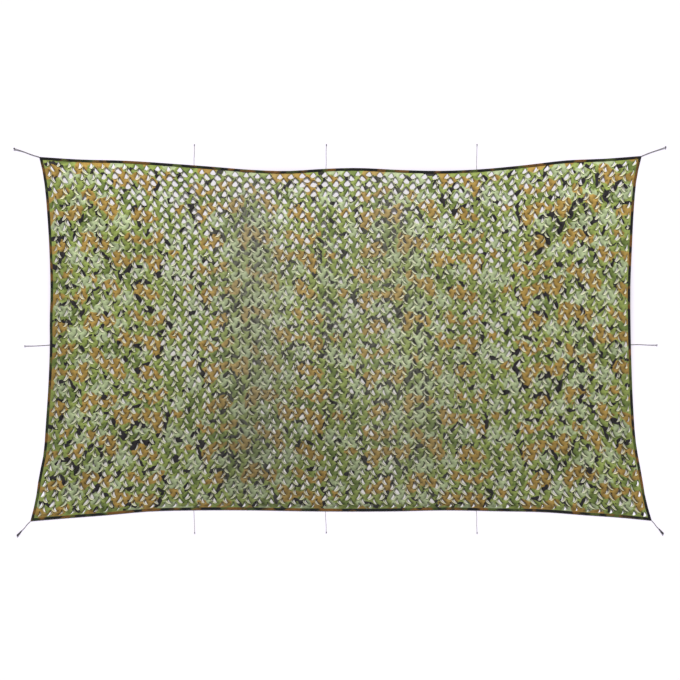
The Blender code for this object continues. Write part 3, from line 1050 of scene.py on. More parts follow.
@dataclass
class SlitCloth:
    """The slit sheet, pulled open, as one thin closed mesh for each quarter of its width.

    Round each slit lies a diamond-shaped tile that reaches half a cell each way. A tile
    has four rings of 16 points: its rim, shared with its neighbours, one ring on the
    strand, one at the slit's visible edge, and the cut edge itself. On the slit's lower
    side the cloth rolls over, and its cut edge lies back on the strand.

    A pair is a size for a bare slit and one for a wide hole, but the strand's and the seen
    edge's heights are for a slit's lower and its upper side.
    """

    cloth: ClothMap
    openness: Openness
    greying: Greying
    chart: PrintChart
    chance: Chance = Chance()
    thickness: float = 0.8 * MM
    around: int = 16
    lean: float = math.radians(24.5)
    rim_turn: int = 1
    slit_length: Pair = (60 * MM, 58 * MM)
    aside: float = 3.0 * MM
    slit_width: Pair = (5 * MM, 45 * MM)
    taper: Pair = (0.10, 0.34)
    point: Pair = (0.8, 0.15)
    bow: float = 10.0 * MM
    edge_row: float = 52 * MM
    short_by_edge: float = 0.84
    lip_heading: float = math.radians(63)
    lip_width: Pair = (21 * MM, 14 * MM)
    lip_room: float = 0.72
    curl_width: Pair = (17 * MM, 12 * MM)
    roll_from: float = -0.1
    roll_run: float = 0.7
    roll_limits: Pair = (0.3, 1.6)
    upper_to: float = 0.45
    upper_run: float = 1.1
    strand_share: float = 0.6
    strand_limits: Pair = (0.35, 0.62)
    drop: float = 2.0 * MM
    drop_room: float = 0.3
    lip_rise: float = 9.5 * MM
    seen_height: Pair = (7.0 * MM, 4.5 * MM)
    strand_height: Pair = (8.0 * MM, 18.0 * MM)
    rim_height: float = 12.5 * MM
    wobble: float = 0.45 * MM
    wobble_waves: Rows = ((1, 1.7, 0.9, 0), (1, 0.8, -2.1, 1.0), (1, 2.9, 1.4, 2.0))
    border_height: float = 2.5 * MM
    border_hidden: float = 16 * MM
    border_run: float = 42 * MM
    off_ground: float = 0.3 * MM
    fold_scale: float = 0.82
    crest_relief: float = 0.85
    tallest_fold: float = 38 * MM
    strips: int = 4
    print_drift: float = 18 * MM
    metres_per_map: float = 3.12
    map_margin: float = 5 * MM
    flat_height: float = 2.95

    def _tiles(self) -> None:
        """Lists the slits' middles in cells, which way each leans, and the uncut tiles on the border."""
        columns, rows = self.cloth.columns, self.cloth.rows

        def grid(across: Array, up: Array) -> Array:
            """Every pair of the two lists."""
            return np.stack(np.meshgrid(across, up, indexing="ij"), axis=-1).reshape(-1, 2)

        rising = grid(np.arange(columns) + 0.5, np.arange(rows) + 0.5)
        falling = grid(np.arange(1.0, columns), np.arange(1.0, rows))
        self.middles = np.concatenate((rising, falling))
        self.leaning = np.concatenate((np.ones(len(rising)), -np.ones(len(falling))))
        everywhere = grid(np.arange(columns + 1.0), np.arange(rows + 1.0))
        on_side = (everywhere[:, 0] % columns == 0) | (everywhere[:, 1] % rows == 0)
        self.border_middles = everywhere[on_side]

    def _rims(self) -> None:
        """Gives every tile its 16 rim points as numbers into one shared list.

        In eighths of a cell the rim is a diamond walked clockwise from its top, where
        each coordinate is a triangle wave of the walk. On the border it is cut off at
        the mesh's edge.
        """
        walk = np.arange(self.around)
        half = self.around // 2
        starts = (half // 2, half)
        waves = [half // 2 - np.abs((walk + start) % self.around - half) for start in starts]
        limits = np.array((self.cloth.columns, self.cloth.rows)) * half
        middles = np.concatenate((self.middles, self.border_middles))
        keys = np.clip(np.rint(half * middles).astype(int)[:, None] + np.stack(waves, axis=-1), 0, limits)
        flat_keys = keys[..., 0] * (limits[1] + 1) + keys[..., 1]
        found, numbers = np.unique(flat_keys, return_inverse=True)
        numbers = numbers.reshape(flat_keys.shape)
        self.rim_places = np.stack(np.divmod(found, limits[1] + 1), axis=-1) / half
        turned = (walk + self.rim_turn * self.leaning.astype(int)[:, None]) % self.around
        self.tile_rims = np.take_along_axis(numbers[: len(self.middles)], turned, axis=1)
        self.border_rims = numbers[len(self.middles):]

    def _shape(self) -> None:
        """Works out every point's place in cells, its height over the folds, and its place in the flat cloth.

        A slit is a slightly bowed oval, wider at its lower end and set a little towards
        its lip. Its half width is the sine of the walk times that sine's size to the
        power of point, so that a bare slit has sharp ends and a wide hole full ones. Its
        outward direction at each point is the oval's normal.

        How far the edge rolls over depends on how well that direction agrees with the
        slit's downhill one. The rolled lip is no wider than most of the room to the rim,
        evened out between neighbouring points. The print is shifted a little from slit
        to slit.
        """
        draw = np.random.default_rng(SEED)
        chance = self.chance
        count = len(self.middles)
        vary = np.clip(draw.normal(size=(9, count)), -2, 2)
        rim_vary = draw.uniform(-1, 1, size=(3, len(self.rim_places)))
        cell = np.array(self.cloth.cell)
        plan = self.cloth.plan(self.middles)
        near_edge = self.cloth.to_edge(self.middles) < self.edge_row
        gape = self.openness.at(plan[:, 0], plan[:, 1])
        gape = np.clip(gape + chance.openness * vary[0], 0, 1)
        length = between(self.slit_length, gape) * (1 + chance.length * vary[1])
        length = (length * np.where(near_edge, self.short_by_edge, 1.0))[:, None]
        width = (between(self.slit_width, gape) * (1 + chance.width * vary[2]))[:, None]
        pairs = (self.taper, self.point, self.lip_width, self.curl_width)
        taper, point, lip, curl = (between(pair, gape)[:, None] for pair in pairs)
        leaning = self.leaning[:, None]
        turn = self.leaning * (self.lean + chance.lean * vary[3])
        axis = np.stack((np.sin(turn), np.cos(turn)), axis=-1)[:, None]
        right = np.stack((np.cos(turn), -np.sin(turn)), axis=-1)[:, None]

        walk = 2 * math.pi * np.arange(self.around) / self.around
        up, out = np.cos(walk)[None], np.sin(walk)[None]
        along = 0.5 * length * up
        across = 0.5 * width * out * np.abs(out) ** point * (1 - taper * up)
        across = across + leaning * (self.aside + self.bow * (0.5 - up**2))
        middle = chance.middle * vary[4:6].T
        slit = middle[:, None] + along[..., None] * axis + across[..., None] * right
        outward = unit((up / length)[..., None] * axis + (out / width)[..., None] * right)

        heading = self.leaning * (self.lip_heading + chance.heading * vary[6])
        downhill = np.stack((np.sin(heading), -np.cos(heading)), axis=-1)[:, None]
        agree = (outward * downhill).sum(axis=-1)
        slit_places = self.middles[:, None] + slit / cell
        own_roll = np.clip(1 + chance.roll * vary[7], *self.roll_limits)[:, None]
        roll = soft_step((agree - self.roll_from) / self.roll_run) * own_roll * self._free(slit_places)
        rolled = np.clip(roll, 0, 1)
        upper = soft_step((self.upper_to - agree) / self.upper_run)
        uneven = (1 + chance.height * vary[8])[:, None]

        inner = (self.cloth.to_edge(self.rim_places) > 1 * MM)[:, None]
        rim_place = self.rim_places + inner * chance.rim_place * rim_vary[:2].T / cell
        rim_z = self.wobble * ripple(self.wobble_waves, *rim_place.T) + chance.rim_height * rim_vary[2]
        to_rim = (rim_place[self.tile_rims] - slit_places) * cell
        room = np.linalg.norm(to_rim, axis=-1)
        reach = between((self.strand_share * lip, curl), upper)
        share = np.clip(reach / room, *self.strand_limits)
        strand = slit_places + share[..., None] * to_rim / cell
        strand_z = between(self.strand_height, upper) * uneven
        drop = np.minimum(self.drop * (1 - rolled), self.drop_room * room)
        seen = slit_places + drop[..., None] * outward / cell
        seen_z = between(self.seen_height, upper) * uneven
        spare = self.lip_room * room
        for side in (1, -1):
            spare = np.minimum(spare, 0.5 * (spare + np.roll(spare, side, axis=1)))
        lip_step = np.minimum(lip * roll, spare)[..., None] * outward / cell
        cut, unrolled = slit_places + lip_step, slit_places - lip_step
        cut_z = seen_z - self.drop + (self.drop + self.lip_rise * uneven) * rolled

        border = rim_place[self.border_rims].mean(axis=1)
        border_z = np.full(len(border), self.rim_height)
        rings = [ring.reshape(-1, 2) for ring in (strand, seen, cut, unrolled)]
        self.places = np.concatenate((rim_place, *rings[:3], border))
        self.flat_places = np.concatenate((rim_place, *rings[:2], rings[3], border))
        ring_heights = [height.ravel() for height in (strand_z, seen_z, cut_z)]
        self.relief = np.concatenate((self.rim_height + rim_z, *ring_heights, border_z))
        drift = np.repeat(self.print_drift * draw.uniform(-1, 1, size=(count, 2)), self.around, axis=0)
        self.drift = np.zeros_like(self.places)
        self.drift[len(rim_place):len(rim_place) + 3 * len(drift)] = np.tile(drift, (3, 1))
        ids = len(rim_place) + np.arange(3 * count * self.around).reshape(3, count, self.around)
        self.strand_ids, self.seen_ids, self.cut_ids = ids
        self.border_ids = len(rim_place) + ids.size + np.arange(len(border))

    def _free(self, places: Array) -> Array:
        """0 where the binding hides the cloth, rising to 1 over border_run inside it."""
        return soft_step((self.cloth.to_edge(places) - self.border_hidden) / self.border_run)

    def _settle(self) -> Array:
        """The cloth's middle surface in metres.

        Height is the folds' rise plus the relief. The relief is a little lower on the
        crests of the folds, where the cloth is pulled flatter, and by the border it
        sinks to the height at which the binding holds the cloth.

        Returns:
            Rows of x, y and z.
        """
        plan = self.cloth.plan(self.places)
        rise = self.cloth.ground(self.places, plan) * self.fold_scale
        crest = np.clip(rise / (self.fold_scale * self.tallest_fold), 0, 1)
        relief = self.relief * (1 - (1 - self.crest_relief) * crest)
        lift = between((self.border_height, relief), self._free(self.places))
        return np.column_stack((plan, rise + lift))

    def _faces(self) -> tuple[Array, Array]:
        """The face-side quads of all tiles and the triangles of the border tiles, turned upward.

        Returns:
            The quads by tile, ring and step, and the triangles by border tile and step.
        """
        rings = (self.tile_rims, self.strand_ids, self.seen_ids, self.cut_ids)
        quads = []
        for outer, inner in zip(rings, rings[1:]):
            outer_next, inner_next = np.roll(outer, -1, axis=1), np.roll(inner, -1, axis=1)
            quads.append(np.stack((outer, inner, inner_next, outer_next), axis=-1))
        rim, rim_next = self.border_rims, np.roll(self.border_rims, -1, axis=1)
        middle = np.broadcast_to(self.border_ids[:, None], rim.shape)
        return np.stack(quads, axis=1), np.stack((middle, rim_next, rim), axis=-1)

    @staticmethod
    def _halved(points: Array, quads: Array) -> Array:
        """Each quad's two triangles, split along its shorter diagonal.

        Both sides of the cloth are made from the same triangles, so that neither shows
        through the other where a quad is bent.

        Args:
            points: rows of x, y and z.
            quads: point numbers, four corners last.

        Returns:
            Point numbers, with two triangles of three corners last.
        """
        first, second, third, last = (quads[..., corner] for corner in range(4))
        one_way = np.linalg.norm(points[third] - points[first], axis=-1)
        other_way = np.linalg.norm(points[last] - points[second], axis=-1)
        along_first = np.stack((first, second, third, first, third, last), axis=-1)
        along_second = np.stack((second, third, last, second, last, first), axis=-1)
        chosen = np.where((one_way <= other_way)[..., None], along_first, along_second)
        return chosen.reshape(*quads.shape[:-1], 2, 3)

    @staticmethod
    def _normals(points: Array, triangles: Array) -> Array:
        """Each point's normal: the sum of its faces' own unit normals, made one long.

        Large and small faces count alike, so that at a fold, where the cloth turns
        back on itself, the normal points into the fold.

        Args:
            points: rows of x, y and z.
            triangles: rows of three point numbers.

        Returns:
            A unit vector for each point.
        """
        first, second, third = (points[triangles[:, corner]] for corner in range(3))
        area = np.cross(second - first, third - first)
        area = area / (np.linalg.norm(area, axis=1, keepdims=True) + 1e-7)
        total = np.zeros_like(points)
        for corner in range(3):
            for axis in range(3):
                total[:, axis] += np.bincount(triangles[:, corner], area[:, axis], len(points))
        return unit(total + (0, 0, 1e-9))

    def _strip_of(self, middles: Array) -> Array:
        """Which strip each tile's middle falls in."""
        share = middles[:, 0] / self.cloth.columns * self.strips
        return np.minimum(np.floor(share).astype(int), self.strips - 1)

    def build(self) -> list[Piece]:
        """Builds the cloth and cuts it into strips, each a closed two-sided sheet.

        Returns:
            The strips from left to right.
        """
        self._tiles()
        self._rims()
        self._shape()
        middle = self._settle()
        tile_quads, border_triangles = self._faces()
        tile_triangles = self._halved(middle, tile_quads)
        whole = border_triangles[..., 1] != border_triangles[..., 2]
        every = np.concatenate((tile_triangles.reshape(-1, 3), border_triangles[whole]))
        half = 0.5 * self.thickness * self._normals(middle, every)
        cut_edge = np.zeros(len(middle), bool)
        cut_edge[self.cut_ids] = True
        face_side = np.where(cut_edge[:, None], middle, middle + half)
        reverse_side = middle - half
        reverse_side[:, 2] = np.maximum(reverse_side[:, 2], self.off_ground)
        self.points = np.concatenate((face_side, reverse_side))
        self.reverse_of = np.where(cut_edge, 0, len(middle)) + np.arange(len(middle))
        flat = self.cloth.plan(self.flat_places)
        self.flat = np.tile(flat, (2, 1))
        self.cut_edge = np.tile(cut_edge, 2)
        self.inks = np.tile(self.chart.at(*(flat + self.drift).T), (2, 1))
        # painted fold shade, and painted light and shade that falls off from the top edge
        self.painted_fold_shade = np.tile(self.greying.painted_fold_shade(*flat.T), 2)
        self.depth = np.tile(self.greying.depth(*flat.T), 2)
        tile_strip, border_strip = self._strip_of(self.middles), self._strip_of(self.border_middles)
        made = []
        for strip in range(self.strips):
            mine = border_strip == strip
            edging = border_triangles[mine][whole[mine]]
            tiles = tile_triangles[tile_strip == strip].reshape(-1, 3)
            triangles = np.concatenate((tiles, edging))
            made.append(self._strip(f"net_cloth_{strip + 1}", triangles))
        return made

    def _strip(self, name: str, triangles: Array) -> Piece:
        """Makes one strip: its face side, its reverse, and a thin wall round its own outer border.

        Args:
            name: the piece's name.
            triangles: its face side, as rows of three point numbers.

        Returns:
            The piece, with its ink, its painted fold shade, its painted light and shade (depth) and its
            reverse stored, and its flat map.
        """
        edges = np.stack((triangles, np.roll(triangles, -1, axis=1)), axis=-1).reshape(-1, 2)
        _, first, times = np.unique(np.sort(edges, axis=1), axis=0, return_index=True, return_counts=True)
        outer = edges[first[times == 1]]
        tail, head = outer[~self.cut_edge[outer].all(axis=1)].T
        wall = np.column_stack((head, tail, self.reverse_of[tail], self.reverse_of[head]))
        parts = [triangles, self.reverse_of[triangles][:, ::-1], wall]
        used, renumbered = np.unique(np.concatenate([part.ravel() for part in parts]), return_inverse=True)
        sizes = np.cumsum([part.size for part in parts])[:-1]
        faces = [piece.reshape(part.shape) for piece, part in zip(np.split(renumbered, sizes), parts)]
        made = make_piece(name, self.points[used], faces)
        mesh = made.data

        reverse = np.repeat((0.0, 1.0, 0.5), [len(part) for part in parts])
        give_attribute(mesh, "reverse", "FLOAT", "FACE", reverse)
        give_attribute(mesh, "inks", "FLOAT_COLOR", "POINT", self.inks[used])
        give_attribute(mesh, "painted_fold_shade", "FLOAT", "POINT", self.painted_fold_shade[used])
        give_attribute(mesh, "depth", "FLOAT", "POINT", self.depth[used])
        flat = self.flat[used]
        origin = flat.min(axis=0) - self.map_margin
        corner_flat = np.concatenate([(flat[part] - origin).reshape(-1, 2) for part in faces])
        corner_flat = corner_flat / self.metres_per_map
        corner_flat[:, 0] += 0.5 * np.repeat((0, 1, 0), [part.size for part in parts])
        mesh.uv_layers.new(name="OFBake").data.foreach_set("uv", corner_flat.astype(np.float32).ravel())

        ends = np.zeros(len(mesh.edges) * 2, np.int32)
        mesh.edges.foreach_get("vertices", ends)
        ends = ends.reshape(-1, 2)
        cut = self.cut_edge[used]
        sharp_point = cut.copy()
        sharp_point[faces[2]] = True
        same_kind = cut[ends[:, 0]] == cut[ends[:, 1]]
        give_attribute(mesh, "sharp_edge", "BOOLEAN", "EDGE", sharp_point[ends].all(axis=1) & same_kind)
        return made

    def flat_area(self, piece: Piece) -> float:
        """The strip's cloth in square metres: half of its surface.

        Args:
            piece: a strip that build has made.

        Returns:
            The area.
        """
        areas = np.zeros(len(piece.data.polygons), np.float32)
        piece.data.polygons.foreach_get("area", areas)
        return 0.5 * float(areas.sum())


# ------------ the binding


@dataclass
class Binding:
    """A strip folded over the cloth's edge round a cord and sewn through near its inner edges."""

    outline: Outline
    width: float = 22 * MM
    height: float = 5 * MM
    layer: float = 1.2 * MM
    core: float = 5 * MM
    crown: float = 10 * MM
    trim: float = 0.3 * MM
    mitre_cut: float = 0.25 * MM
    station_step: float = 10 * MM
    round_points: int = 7
    sharp_angle: float = math.radians(50)
    pucker: float = 0.35 * MM
    pucker_lengths: Pair = (43 * MM, 71 * MM)
    seam_dip: float = 0.25 * MM
    stitch_inset: float = 17 * MM
    stitch_pitch: float = 5 * MM
    stitch_length: float = 3.4 * MM
    stitch_radius: float = 0.38 * MM
    bare_stitches: int = 4

    def _profile(self) -> Array:
        """The cross-section, rows of (inset, height), a U open to the cloth.

        The outer edge is a half circle round the cord. Each leg's inner end is rounded
        off by one slanted step.

        Returns:
            The rows, once round the cross-section.
        """
        width, height, trim = self.width, self.height, self.trim
        radius = height / 2
        turn = np.linspace(0.5 * math.pi, 1.5 * math.pi, self.round_points)
        outer = radius + radius * np.column_stack((np.cos(turn), np.sin(turn)))
        low, high = self.layer, height - self.layer
        top = [(width - trim, height), (self.stitch_inset, height - self.seam_dip), (self.crown, height)]
        bottom = [(self.crown, 0.0), (width - trim, 0.0), (width, trim)]
        channel = [(width, low), (self.core, low), (self.core, high), (width, high)]
        return np.array([*top, *outer.tolist(), *bottom, *channel, (width, height - trim)])

    def _stations(self, name: SideName) -> tuple[Array, float]:
        """Even shares along a side and its length."""
        length = float(run_along(self.outline.side(name, self.width / 2, np.linspace(0, 1, 400)))[-1])
        return np.linspace(0, 1, round(length / self.station_step) + 1), length

    def strip(self, name: SideName) -> Piece:
        """One side's strip, mitred at both corners.

        Its upper face puckers between stitches by two sine waves along the side, and
        its underside stays flat.

        Args:
            name: the side.

        Returns:
            The piece.
        """
        shares, length = self._stations(name)
        turns = 2 * math.pi * shares * length
        first, second = self.pucker_lengths
        waves = 0.6 * np.sin(turns / first) + 0.4 * np.sin(turns / second + 1)
        lines = []
        for inset, height in self._profile():
            line = self.outline.side(name, inset, shares)
            for end, towards in ((0, 1), (-1, -2)):
                line[end] += self.mitre_cut * unit(line[towards] - line[end])
            lift = height + (height > self.height - self.layer) * self.pucker * (waves - 0.4)
            lines.append(np.column_stack((line, lift)))
        points = np.stack(lines, axis=1)
        faces = [part[:, ::-1] for part in tube_faces(*points.shape[:2])]
        made = make_piece(f"binding_strip_{name.value}", points, faces)
        made.data.set_sharp_from_angle(angle=self.sharp_angle)
        return made

    def stitches(self, name: SideName) -> Piece:
        """The row of sewing stitches on one side's strip, as one joined mesh.

        Each stitch is a spindle: three rings of four points along the seam, thick in
        the middle, pressed half into the strip.

        Args:
            name: the side.

        Returns:
            The piece.
        """
        _, length = self._stations(name)
        bare = self.bare_stitches
        count = round(length / self.stitch_pitch) - 2 * bare
        middle = (np.arange(count) + bare + 0.5) / (count + 2 * bare)
        line, ahead = (self.outline.side(name, self.stitch_inset, at) for at in (middle, middle + 1e-4))
        way = unit(ahead - line)
        aside = np.column_stack((-way[:, 1], way[:, 0]))
        along = np.array((-0.5, 0.0, 0.5)) * self.stitch_length
        size = np.array((0.45, 1.0, 0.45))[:, None] * self.stitch_radius
        turn = math.pi * (np.arange(4) + 0.5) / 2
        plan = (
            line[:, None, None]
            + along[None, :, None, None] * way[:, None, None]
            + (size * np.cos(turn))[None, ..., None] * aside[:, None, None]
        )
        height = np.broadcast_to(self.height - self.seam_dip + size * np.sin(turn), plan.shape[:3])
        points = np.concatenate((plan, height[..., None]), axis=-1)
        shift = np.arange(count)[:, None, None] * size.size * turn.size
        spindle = tube_faces(size.size, turn.size)
        faces = [(part[None] + shift).reshape(-1, part.shape[1]) for part in spindle]
        return make_piece(f"binding_stitches_{name.value}", points, faces)


# ------------ the ties


class TieEnd(Enum):
    """What a tie's free end has on it."""

    PLAIN = "plain knot"
    LASHED = "whipped end"


@dataclass(frozen=True)
class TieSize:
    """A free end's length and width in cord diameters, and how high its near end stands in half widths."""

    length: float
    width: float
    near: float


@dataclass(frozen=True)
class Trefoil:
    """An overhand knot's path: twice round a ring and three times through it.

    The ring and the swing are in units of one scale, and the cord in cord diameters.
    """

    ring: float = 2.0
    swing: float = 1.25
    narrow: float = 0.86
    cord: float = 0.34
    stations: int = 72


@dataclass(frozen=True)
class Whipping:
    """A close winding of twine. Its swell is rows of (share along, share of the half width)."""

    twine: float = 1.6 * MM
    groove: float = 0.35 * MM
    around: int = 16
    stations_a_turn: int = 5
    swell: Rows = ((0, 0.44), (0.1, 0.50), (0.3, 0.61), (0.62, 0.78), (0.9, 0.93), (0.97, 0.88), (1, 0.62))


END_SIZES = {TieEnd.PLAIN: TieSize(2.8, 2.3, 1.0), TieEnd.LASHED: TieSize(11.0, 3.0, 0.46)}


@dataclass
class Tie:
    """A twisted cord sewn into the binding, with a knot or a whipping at its free end.

    Its share says where along its side it leaves, and its tip is where its free end lies.
    """

    name: str
    side: SideName
    share: float
    tip: Pair
    bows: Pair
    diameter: float
    end: TieEnd
    start_gap: float = 0.5 * MM
    end_gap: float = 0.3 * MM
    ground_gap: float = 0.2 * MM
    binding_height: float = 5 * MM
    plies: int = 3
    lobe_depth: float = 0.16
    around: int = 18
    station_step: float = 1.5 * MM
    lay_length: float = 3.4
    declared_points: int = 24

    def route(self, outline: Outline) -> tuple[Array, Array, Array]:
        """The cord's middle line, and its knot's two ends.

        The line is a smooth curve through four points: the root at the binding, two
        points that stray a little to the side on the ground, and the knot.

        Args:
            outline: the net's edge, from which the cord leaves.

        Returns:
            Rows of x, y and z for the line, then the knot's near end and its far end.
        """
        size = END_SIZES[self.end]
        line = outline.loop[outline.places[self.side]]
        root = read_line(line, self.share * (len(line) - 1), np.arange(len(line)))
        tip = np.array(self.tip)
        way = unit(tip - root)
        left = np.array((-way[1], way[0]))
        start = root + way * self.start_gap
        knot_near = tip - way * size.length * self.diameter
        span = knot_near - way * self.end_gap - start
        shares = np.linspace(0, 1, 4)
        plan = start + shares[:, None] * span + np.array((0, *self.bows, 0))[:, None] * left
        low = self.diameter / 2 + self.ground_gap
        far_height = size.width * self.diameter / 2 + self.ground_gap
        near_height = size.near * size.width * self.diameter / 2 + self.ground_gap
        heights = [max(self.binding_height / 2, low), low, low, max(near_height, low)]
        at = np.linspace(0, 1, max(12, round(float(np.linalg.norm(span)) / self.station_step)) + 1)
        knots = np.column_stack((plan, heights))
        columns = [smooth_through(np.column_stack((shares, column)), at) for column in knots.T]
        path = np.stack(columns, axis=1)
        path[:, 2] = np.maximum(path[:, 2], low)
        return path, np.array((*knot_near, heights[-1])), np.array((*tip, far_height))

    def _sweep(self, path: Array, radius: float, closed: bool = False) -> Array:
        """Carries a three-ply profile along a path.

        The profile's radius is its outer size less the lobe depth times one minus the
        absolute cosine of the lobe angle, and it turns once each lay length.

        Args:
            path: rows of x, y and z.
            radius: the profile's outer size in metres.
            closed: whether the path's end joins its start.

        Returns:
            The points, by station and then round the profile.
        """
        if closed:
            way = unit(np.roll(path, -1, axis=0) - np.roll(path, 1, axis=0))
        else:
            way = unit(np.gradient(path, axis=0))
        turns = run_along(path) / (self.lay_length * self.diameter)
        if closed:
            turns = turns / turns[-1] * round(turns[-1])
        angle = 2 * math.pi * np.arange(self.around) / self.around
        lobe = np.abs(np.cos(0.5 * self.plies * (angle[None] - 2 * math.pi * turns[:, None])))
        reach = radius * (1 - self.lobe_depth * (1 - lobe))
        return path[:, None] + reach[..., None] * spokes(way, angle)

    def cord(self, outline: Outline) -> tuple[Piece, Array]:
        """The cord from the binding to its knot, and the line that it follows.

        Args:
            outline: the net's edge.

        Returns:
            The piece, and the line as rows of x, y and z.
        """
        path, _, _ = self.route(outline)
        points = self._sweep(path, self.diameter / 2)
        return make_piece(f"cord_{self.name}", points, tube_faces(*points.shape[:2])), path

    def knot(self, outline: Outline) -> Piece:
        """What is on the free end.

        Args:
            outline: the net's edge.

        Returns:
            The piece.
        """
        _, near, far = self.route(outline)
        lashed = self.end is TieEnd.LASHED
        points = self._whipping(near, far) if lashed else self._overhand(near, far)
        return make_piece(f"knot_end_{self.name}", points, tube_faces(*points.shape[:2], closed=not lashed))

    def _overhand(self, near: Array, far: Array) -> Array:
        """An overhand knot drawn tight: the cord along a trefoil.

        The trefoil's longest loop meets the cord. It is a little narrower across, and as
        thick as the knot is high.

        Args:
            near: the end that meets the cord.
            far: the free end.

        Returns:
            The points, by station and then round the cord.
        """
        size, form = END_SIZES[self.end], Trefoil()
        turn = np.linspace(0, 2 * math.pi, form.stations, endpoint=False)
        cord_radius = form.cord * self.diameter
        scale = (0.5 * size.length * self.diameter - cord_radius) / (form.ring + form.swing)
        rise = (0.5 * size.width * self.diameter - cord_radius) / form.swing
        ring = scale * (form.ring + form.swing * np.cos(3 * turn))
        way = unit(far - near)
        path = (
            0.5 * (near + far)
            - (ring * np.cos(2 * turn))[:, None] * way
            + (form.narrow * ring * np.sin(2 * turn))[:, None] * unit(np.cross(UP, way))
            + (rise * np.sin(3 * turn))[:, None] * UP
        )
        return self._sweep(path, cord_radius, closed=True)

    def _whipping(self, near: Array, far: Array) -> Array:
        """The doubled cord's end under a close winding of twine.

        A round body that swells towards its end, its radius raised and lowered once
        each turn of the twine by the absolute sine of the winding's angle.

        Args:
            near: the end that meets the cord.
            far: the free end.

        Returns:
            The points, by station and then round the body.
        """
        form = Whipping()
        half_width = END_SIZES[self.end].width * self.diameter / 2
        turns = float(np.linalg.norm(far - near)) / form.twine
        shares = np.linspace(0, 1, round(form.stations_a_turn * turns))[:, None]
        body = smooth_through(form.swell, shares) * half_width
        angle = 2 * math.pi * np.arange(form.around) / form.around
        winding = shares * turns * math.pi + 0.5 * angle
        radius = body - form.groove * (1 - np.abs(np.sin(winding)))
        middle = near + shares * (far - near)
        return middle[:, None] + radius[..., None] * spokes(unit(far - near), angle)


def list_ties() -> tuple[Tie, ...]:
    """The twelve ties.

    Returns:
        The four corner ties, then the top, bottom, left and right ones.
    """
    bottom, right, top, left = SideName
    plain, lashed = TieEnd.PLAIN, TieEnd.LASHED
    return (
        Tie("corner_top_left", left, 0.0, (-2.686, 1.560), (0.0015, -0.0010), 6 * MM, plain),
        Tie("corner_top_right", top, 0.0, (2.668, 1.572), (0.0020, 0.0005), 6 * MM, plain),
        Tie("corner_bottom_left", bottom, 0.0, (-2.656, -1.616), (-0.0015, 0.0010), 5 * MM, lashed),
        Tie("corner_bottom_right", right, 0.0, (2.642, -1.601), (0.0010, -0.0015), 5 * MM, lashed),
        Tie("top_left", top, 0.743, (-1.202, 1.593), (0.0010, -0.0010), 4 * MM, plain),
        Tie("top_middle", top, 0.524, (-0.120, 1.594), (-0.0010, 0.0012), 4 * MM, plain),
        Tie("top_right", top, 0.274, (1.115, 1.595), (0.0012, 0.0006), 4 * MM, plain),
        Tie("bottom_left", bottom, 0.263, (-1.200, -1.597), (0.0010, 0.0014), 4 * MM, plain),
        Tie("bottom_middle", bottom, 0.475, (-0.121, -1.593), (-0.0012, 0.0008), 4 * MM, plain),
        Tie("bottom_right", bottom, 0.718, (1.115, -1.597), (0.0008, -0.0012), 4 * MM, plain),
        Tie("left", left, 0.515, (-2.598, -0.060), (0.0025, 0.0030), 4 * MM, plain),
        Tie("right", right, 0.484, (2.595, -0.052), (0.0015, -0.0010), 4 * MM, plain),
    )


# ------------ studio


